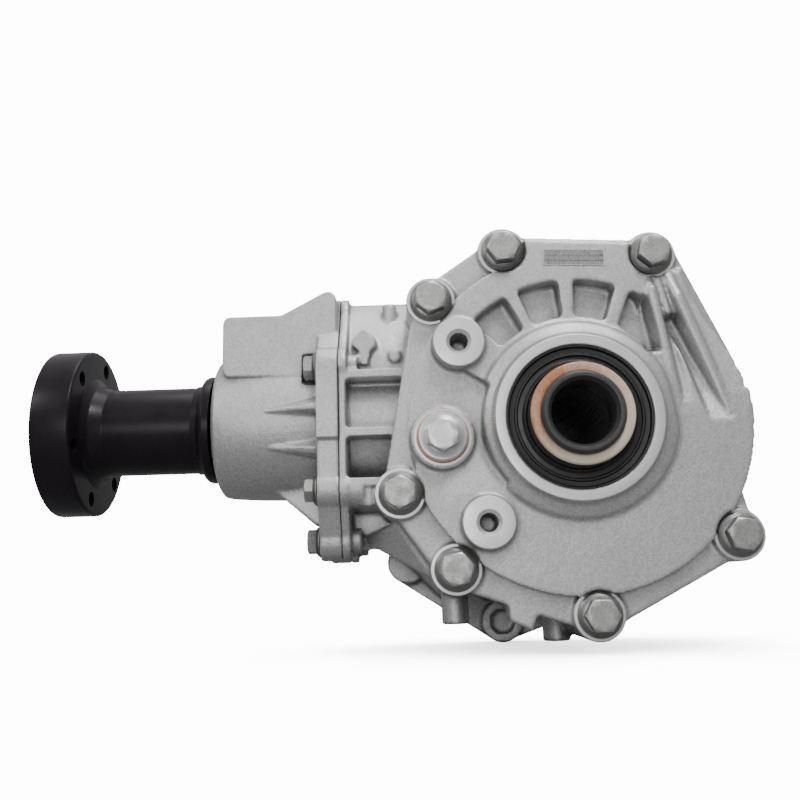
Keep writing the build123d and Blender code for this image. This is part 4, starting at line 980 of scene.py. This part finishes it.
@dataclass
class BoltSet:
    """Flange bolts of one size, set on their seats by geometry nodes.

    The rim's rows are millimetres beyond the washer's radius, then a share of its height and millimetres
    above. The neck's rows are shares of half the flats with millimetres above the washer, and the dish's rows
    the same with millimetres above the head's top.
    """

    name: str
    node: str
    seats: list[Seat]
    towards: Axis
    washer_radius: float
    washer: float
    flats: float
    head: float
    shank: float
    grip: float
    finish: Finish = BOLT
    rim: Profile = ((-0.5, 0.0, 0.0), (0.0, 0.0, 0.45), (-0.1, 0.7, 0.0), (-0.9, 1.0, 0.0))
    neck: Sequence[Pair] = ((1.3, 0.25), (1.2, 0.7))
    dish: Sequence[Pair] = ((0.93, 0.0), (0.62, -0.05), (0.0, -0.2))
    head_foot: float = 0.9
    chamfer: float = 0.25
    chamfer_slope: float = 0.58
    top_edge: float = 0.35
    top_slope: float = 0.5
    painted_shade_height: float = 0.8
    steps: int = 72

    def rows(self) -> list[list[Pair]]:
        """Radius and height of each point round the bolt, row by row from its end to its dished top.

        Returns:
            The rows, in millimetres.
        """
        half = self.flats / 2
        top = self.washer + self.head
        third = math.pi / 3
        hexagon = [half / math.cos((2 * math.pi * i / self.steps + third / 2) % third - third / 2)
                   for i in range(self.steps)]
        low = [(0.0, -self.grip), (self.shank, -self.grip), (self.shank, 0.0)]
        low += [(self.washer_radius + out, self.washer * share + up) for out, share, up in self.rim]
        low += [(half * share, self.washer + up) for share, up in self.neck]
        high = [(half * share, top + up) for share, up in self.dish]
        return [*[[point] * self.steps for point in low],
                [(r, self.washer + self.head_foot) for r in hexagon],
                [(r, top - self.chamfer - (r - half) * self.chamfer_slope) for r in hexagon],
                [(r - self.top_edge, top - (r - half) * self.top_slope) for r in hexagon],
                *[[point] * self.steps for point in high]]

    def pattern(self) -> Object:
        """One bolt on the set's axis: washer with a rounded rim, chamfered hexagon head, dished top.

        Returns:
            The bolt, at the origin.
        """
        shape = bmesh.new()
        turns = [2 * math.pi * i / self.steps for i in range(self.steps)]
        rings = [[shape.verts.new((r * MM * math.cos(turn), r * MM * math.sin(turn), h * MM))
                  for turn, (r, h) in zip(turns, row)] for row in self.rows()]
        join_rings(shape, rings)
        bmesh.ops.dissolve_degenerate(shape, dist=FLAT_REACH, edges=shape.edges)
        mesh = mesh_from(self.name + "_pattern", shape)
        sharpen(mesh, FINE_CRISP_ANGLE)
        # The washer's points are marked so that the finish darkens them as painted shade.
        painted_shade_mark = mesh.attributes.new("washer", "FLOAT", "POINT")
        limit = (self.washer + self.painted_shade_height) * MM
        painted_shade_mark.data.foreach_set("value", [1.0 if vertex.co.z < limit else 0.0 for vertex in mesh.vertices])
        quarter = math.pi / 2
        shaft = self.towards is Axis.SHAFT
        mesh.transform(Matrix.Rotation(quarter if shaft else -quarter, 4, "X" if shaft else "Y"))
        return new_object(self.name + "_pattern", mesh)

    def build(self) -> None:
        """Put the bolt on each seat, turned by the seat's own angle, and make the set one plain mesh."""
        grower = Grower(self.name + "_on_seats", {"Geometry": "Geometry", "Bolt": "Object",
                                                  "Turn Axis": "Vector", "Finish": "Material"})
        add, source = grower.graph.add, grower.source
        bolt = add("GeometryNodeObjectInfo", {"Object": source["Bolt"]})
        turn = add("GeometryNodeInputNamedAttribute", {"Name": "turn"}, data_type="FLOAT")
        spin = add("FunctionNodeAxisAngleToRotation", {"Axis": source["Turn Axis"],
                                                       "Angle": turn.outputs["Attribute"]})
        copies = add("GeometryNodeInstanceOnPoints", {
            "Points": source["Geometry"], "Instance": bolt.outputs["Geometry"],
            "Rotation": spin.outputs["Rotation"]})
        pattern = self.pattern()
        mesh = bpy.data.meshes.new(self.name)
        mesh.from_pydata([place for place, _ in self.seats], [], [])
        turns = mesh.attributes.new("turn", "FLOAT", "POINT")
        turns.data.foreach_set("value", [math.radians(turn) for _, turn in self.seats])
        piece = new_object(self.name, mesh)
        grower.run(piece, copies.outputs["Instances"], {
            "Bolt": pattern, "Turn Axis": (0, 1, 0) if self.towards is Axis.SHAFT else (1, 0, 0),
            "Finish": material_of(self.finish)})
        bpy.data.objects.remove(pattern)
        Piece(Body.CASE, "machined_bolt", self.finish, (self.node,)).dress(piece)


@dataclass
class Fasteners:
    """Every bolt on the outside, and the filler plug on its copper washer."""

    circle: float = 95.2
    seat_depth: float = 11.0
    angles: tuple[float, ...] = (137.9, 110.2, 63.0, -38.2, -87.0, -131.1, -159.0)
    turns: tuple[float, ...] = (8.0, 25.0, 12.0, 40.0, 30.0, 18.0, 3.0)
    plug_at: Pair = (-67.1, -7.5)
    plug_depth: float = 4.5
    plug_washer: float = 1.5
    copper: Profile = ((-123.5, 8.0, 0.2), (-123.5, 13.0, 0.5), (-122.0, 13.0, 0.5), (-122.0, 8.0, 0.2))
    housing_at: tuple[Pair, ...] = (
        (-39.0, 36.8), (-39.0, -29.0), (-27.0, -55.0), (27.0, -55.0), (39.0, -29.0), (39.0, 36.8),
        (-33.0, 77.0))
    housing_flange: float = 11.5
    housing_turn: float = 17.0

    def cover_seats(self) -> list[Seat]:
        """Seats of the cover's bolts with each head's turn.

        Returns:
            Each seat's centre in metres and the turn in degrees.
        """
        seats = []
        for angle, turn in zip(self.angles, self.turns):
            x = self.circle * math.cos(math.radians(angle)) * MM
            z = self.circle * math.sin(math.radians(angle)) * MM
            seats.append(((x, LAYOUT.depth(self.seat_depth), z), turn))
        return seats

    def housing_seats(self) -> list[Seat]:
        """Seats of the pinion housing's bolts."""
        x = LAYOUT.joint_x - self.housing_flange * MM
        return [((x, LAYOUT.pinion_y - forward * MM, z * MM), self.housing_turn * i)
                for i, (forward, z) in enumerate(self.housing_at)]

    def plug_seat(self, below: float = 0.0) -> Place:
        """Centre of the filler plug's seat, or of a plane this far behind it."""
        x, z = self.plug_at
        return (x * MM, LAYOUT.depth(self.plug_depth + below), z * MM)

    def build(self) -> None:
        """Make the bolts, the plug and its washer."""
        seat = self.plug_seat()
        BoltSet("cover_flange_bolts", "cover_bolts", self.cover_seats(), Axis.SHAFT, washer_radius=10.9,
                washer=1.9, flats=14.8, head=7.7, shank=5.0, grip=30.0).build()
        BoltSet("housing_flange_bolts", "housing_bolts", self.housing_seats(), Axis.PINION, washer_radius=8.4,
                washer=1.6, flats=11.8, head=5.6, shank=4.0, grip=20.0).build()
        BoltSet("filler_plug_hex", "filler_plug", [(seat, 0.0)], Axis.SHAFT, washer_radius=12.5,
                washer=2.6, flats=14.8, head=6.8, shank=8.0, grip=14.0, finish=PLUG).build()
        washer = lathe("plug_washer_copper", self.copper, Axis.SHAFT, 72, (seat[0], seat[2]))
        Piece(Body.CASE, "copper", COPPER, ("plug_washer",)).dress(washer)


@dataclass
class ShaftMouth:
    """What shows in the cover's middle: the lip seal, the tan ring and the dark sleeve."""

    seal: Profile = (
        (-127.3, 35.75, 0.3), (-118.0, 35.75, 0.2), (-118.0, 29.1, 0), (-119.2, 29.1, 0), (-119.2, 33.0, 0),
        (-123.6, 33.0, 0.3), (-123.9, 30.6, 0.3), (-122.4, 25.75, 0), (-123.2, 25.75, 0.2),
        (-125.0, 26.9, 0.5), (-126.3, 25.85, 0.2), (-126.9, 26.6, 0.3), (-125.2, 28.0, 0.6),
        (-124.8, 30.2, 0.3), (-126.2, 30.7, 0.3), (-126.2, 31.5, 0.3), (-125.2, 32.0, 0.3),
        (-125.4, 34.3, 0.3), (-127.2, 34.8, 0.3))
    ring: Profile = (
        (-135.6, 20.2, 0), (-136.6, 20.2, 0.3), (-137.0, 21.0, 0.4), (-137.1, 22.6, 0.8),
        (-136.9, 24.4, 0.6), (-136.0, 25.1, 0.4), (-135.6, 25.1, 0))
    sleeve: Profile = (
        (-120.0, 20.2, 0), (-139.0, 20.2, 0.5), (-140.6, 18.9, 0.6), (-140.5, 17.2, 0.4),
        (-139.2, 16.4, 0.3), (-137.8, 15.5, 0.3), (-120.0, 15.5, 0))

    def build(self) -> None:
        """Make the turned pieces round the through bore."""
        seal = lathe("cover_lip_seal", self.seal, Axis.SHAFT, 160)
        Piece(Body.CASE, "seal_rubber", RUBBER, ("front_seal",)).dress(seal)
        ring = lathe("shaft_end_ring_tan", self.ring, Axis.SHAFT, 128)
        Piece(Body.INPUT, "shaft_end", TAN, ("shaft_end_ring",)).dress(ring)
        sleeve = lathe("through_shaft_sleeve", self.sleeve, Axis.SHAFT, 128)
        Piece(Body.INPUT, "dark_sleeve", DARK_SLEEVE, ("inner_shaft_seal",)).dress(sleeve)


@dataclass
class OutputFlange:
    """Long black companion flange with its bolted disc, and the dust deflector behind it."""

    outline: Profile = (
        (-284.0, 30.0, 0.4), (-284.0, 47.1, 1.8), (-262.7, 47.1, 1.8), (-262.7, 31.4, 1.5),
        (-260.0, 27.0, 2.0), (-253.0, 24.6, 3.0), (-200.0, 24.6, 0.4), (-200.0, 19.0, 0.3),
        (-184.0, 19.0, 0.4), (-184.0, 12.5, 0), (-185.0, 12.5, 0), (-185.0, 12.0, 0), (-224.0, 12.0, 0),
        (-224.0, 19.5, 0.5), (-281.0, 19.5, 0.8), (-281.0, 30.0, 0.6))
    bell: Profile = (
        (-204.0, 24.6, 0), (-204.0, 25.3, 0.3), (-200.8, 25.4, 0.8), (-198.8, 29.4, 1.6),
        (-196.8, 30.5, 0.8), (-193.0, 30.5, 0.3), (-193.0, 29.1, 0.3), (-197.4, 28.4, 0.8), (-199.4, 24.6, 0))
    segments: int = 128
    disc_middle: float = -273.35
    hole_circle: float = 39.0
    hole_radius: float = 4.2
    hole_depth: float = 30.0
    hole_sides: int = 40
    holes: int = 6
    first_hole: float = 12.0

    def cutter(self, index: int) -> Object:
        """The round bar that cuts one bolt hole.

        Args:
            index: which of the holes.

        Returns:
            The bar in its place.
        """
        angle = math.radians(self.first_hole + 360 / self.holes * index)
        place = Vector((self.disc_middle, LAYOUT.pinion_y / MM + self.hole_circle * math.sin(angle),
                        LAYOUT.pinion_z / MM + self.hole_circle * math.cos(angle))) * MM
        shape = bmesh.new()
        radius = self.hole_radius * MM
        bmesh.ops.create_cone(shape, cap_ends=True, segments=self.hole_sides, radius1=radius, radius2=radius,
                              depth=self.hole_depth * MM)
        mesh = mesh_from("cutter", shape)
        mesh.transform(Matrix.Translation(place) @ Matrix.Rotation(math.pi / 2, 4, "Y"))
        return new_object(f"cutter_{index}", mesh)

    def flange(self) -> None:
        """The flange: turned outside and bore, with its bolt holes cut."""
        piece = lathe("companion_flange_black", self.outline, Axis.PINION, self.segments)
        cutters = [self.cutter(index) for index in range(self.holes)]
        for index, cutter in enumerate(cutters):
            cut = piece.modifiers.new(f"hole_{index}", "BOOLEAN")
            cut.object = cutter
            cut.operation = "DIFFERENCE"
            cut.solver = "EXACT"
        settle(piece)
        for cutter in cutters:
            bpy.data.objects.remove(cutter)
        sharpen(piece.data)
        Piece(Body.PINION, "black_coat", BLACK, ("companion_flange",)).dress(piece)

    def deflector(self) -> None:
        """The pressed dust deflector on the flange's tube."""
        piece = lathe("dust_deflector_black", self.bell, Axis.PINION, self.segments)
        Piece(Body.PINION, "black_coat", BLACK, ("dust_deflector",)).dress(piece)

    def build(self) -> None:
        """Make the flange and its deflector."""
        self.flange()
        self.deflector()


class InnerWorks:
    """Bearings, gears and shafts inside, and the seals at the back, copied smooth from the construction."""

    FINISHES = {"gear_steel": GEAR, "bearing_steel": STEEL, "cage_steel": CAGE, "machined_bolt": BOLT,
                "seal_rubber": RUBBER}
    SPLINED = "hollow_shaft"

    def build(self) -> None:
        """Dress every construction node that no made piece stands for."""
        record = frame["record"]
        slots = {entry["node"]: entry["material_slot"] for entry in record["subparts"]}
        bodies = {node: body for body, nodes in record["behaviour"]["bodies"].items() for node in nodes}
        for name, node in frame["nodes"].items():
            if node.hide_render:
                continue
            piece = copy_of_node(name, name + "_smooth")
            for face in piece.data.polygons:
                face.use_smooth = name != self.SPLINED
            sharpen(piece.data, FINE_CRISP_ANGLE)
            # The hollow shaft takes the near-black finish that paints the bore's shade.
            finish = SHAFT if name == self.SPLINED else self.FINISHES[slots[name]]
            Piece(Body(bodies[name]), slots[name], finish, (name,)).dress(piece)


@dataclass
class Studio:
    """Camera at the photograph's viewing angle, a pale floor and soft lights."""

    place: Place = (-0.07763, -0.56780, -0.07681)
    heading: float = 1.287
    rise: float = 11.231
    roll: float = -1.566
    lens: float = 41.17
    sensor: float = 36.0
    white: float = 14.0
    tent_low: float = 0.03
    tent_high: float = 0.75
    tent_heights: Pair = (-0.35, 0.65)
    floor_half: float = 8.0
    floor_gap: float = 0.0002
    floor_bounce: float = 0.22
    floor_roughness: float = 0.9
    floor_shade: float = 0.12
    shade_reach: float = 0.07
    shade_power: float = 1.5
    shade_samples: int = 16
    middle: Place = (-0.08, -0.06, 0.0)
    panels: tuple[tuple[str, Place, float, float], ...] = (
        ("key", (0.30, -0.95, 1.3), 0.4, 16.0), ("front", (-0.3, -1.5, 0.0), 0.6, 7.0),
        ("top", (-0.1, 0.0, 1.5), 0.8, 8.0), ("edge_left", (-1.1, -0.9, 0.8), 0.4, 5.0))

    def camera(self) -> None:
        """Set the camera up."""
        data = bpy.data.cameras.new("photo_view")
        data.lens = self.lens
        data.sensor_width = self.sensor
        camera = new_object("photo_view", data)
        turn = (Matrix.Rotation(math.radians(self.heading), 4, "Z")
                @ Matrix.Rotation(math.radians(90 + self.rise), 4, "X")
                @ Matrix.Rotation(math.radians(self.roll), 4, "Z"))
        camera.matrix_world = Matrix.Translation(self.place) @ turn
        bpy.context.scene.camera = camera

    def floor(self, level: float) -> None:
        """Lay a pale floor, white to the eye with a soft shade near what stands on it.

        Args:
            level: the height.
        """
        shape = bmesh.new()
        bmesh.ops.create_grid(shape, x_segments=1, y_segments=1, size=self.floor_half)
        floor = new_object("floor", mesh_from("floor", shape))
        floor.data.transform(Matrix.Translation((0, 0, level)))
        material = bpy.data.materials.new("floor_pale")
        material.use_nodes = True
        graph = Graph(material.node_tree)
        shader = material.node_tree.nodes["Principled BSDF"]
        graph.feed(shader, {"Base Color": grey(self.floor_bounce), "Roughness": self.floor_roughness})
        closed = graph.add("ShaderNodeAmbientOcclusion", {"Distance": self.shade_reach},
                           samples=self.shade_samples)
        shade = graph.math("POWER", closed.outputs["AO"], self.shade_power)
        glow = graph.add("ShaderNodeEmission", {
            "Color": graph.mix(shade, grey(self.floor_shade), grey(1.0)), "Strength": self.white})
        graph.white_to_eye(shader, glow, material.node_tree.nodes["Material Output"])
        floor.data.materials.append(material)
        floor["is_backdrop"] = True

    def lights(self) -> None:
        """Light the unit softly from above and the front left, as in a light tent."""
        for name, place, size, power in self.panels:
            data = bpy.data.lights.new(name, "AREA")
            data.size = size
            data.energy = power
            light = new_object(name, data)
            light.location = place
            light.rotation_euler = (Vector(self.middle) - Vector(place)).to_track_quat("-Z", "Y").to_euler()

    def surround(self) -> None:
        """A tent that is bright above and dim below, and white where it is seen directly."""
        world = bpy.data.worlds.new("pale_surround")
        bpy.context.scene.world = world
        world.use_nodes = True
        graph = Graph(world.node_tree)
        tent = world.node_tree.nodes["Background"]
        seen = graph.add("ShaderNodeBackground", {"Color": grey(1.0), "Strength": self.white})
        height = graph.add("ShaderNodeSeparateXYZ", {0: graph.add("ShaderNodeTexCoord").outputs["Generated"]})
        glow = graph.remap(height.outputs["Z"], *self.tent_heights, self.tent_low, self.tent_high)
        graph.feed(tent, {"Color": grey(1.0), "Strength": glow})
        graph.white_to_eye(tent, seen, world.node_tree.nodes["World Output"])

    def build(self, level: float) -> None:
        """Set up the whole studio.

        Args:
            level: height of the unit's lowest point.
        """
        self.camera()
        self.floor(level - self.floor_gap)
        self.lights()
        self.surround()


def plain_box(box: tuple) -> list[list[float]]:
    """A bounding box as plain lists of numbers."""
    return [[float(value) for value in corner] for corner in box]


def main() -> None:
    """Build every sub-assembly in order."""
    logging.basicConfig(level=logging.INFO, format="%(message)s")
    construction = plain_box(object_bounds())
    Studio().build(construction[0][2])
    Casting("end_cover", voxel=0.8, field=RibField()).build()
    Casting("main_case", smoothing=2).build()
    ribs = (BarrelRib(15.1, 13.6, 5.2, -160.0), BarrelRib(-6.9, -5.6, 5.6, -158.6))
    Casting("pinion_housing", voxel=0.8, triangles=150000, ribs=ribs).build()
    fasteners = Fasteners()
    CoverFace().build(fasteners.cover_seats(), fasteners.plug_seat(fasteners.plug_washer))
    DateGrid().build()
    fasteners.build()
    ShaftMouth().build()
    OutputFlange().build()
    InnerWorks().build()


if __name__ == "__main__":
    main()
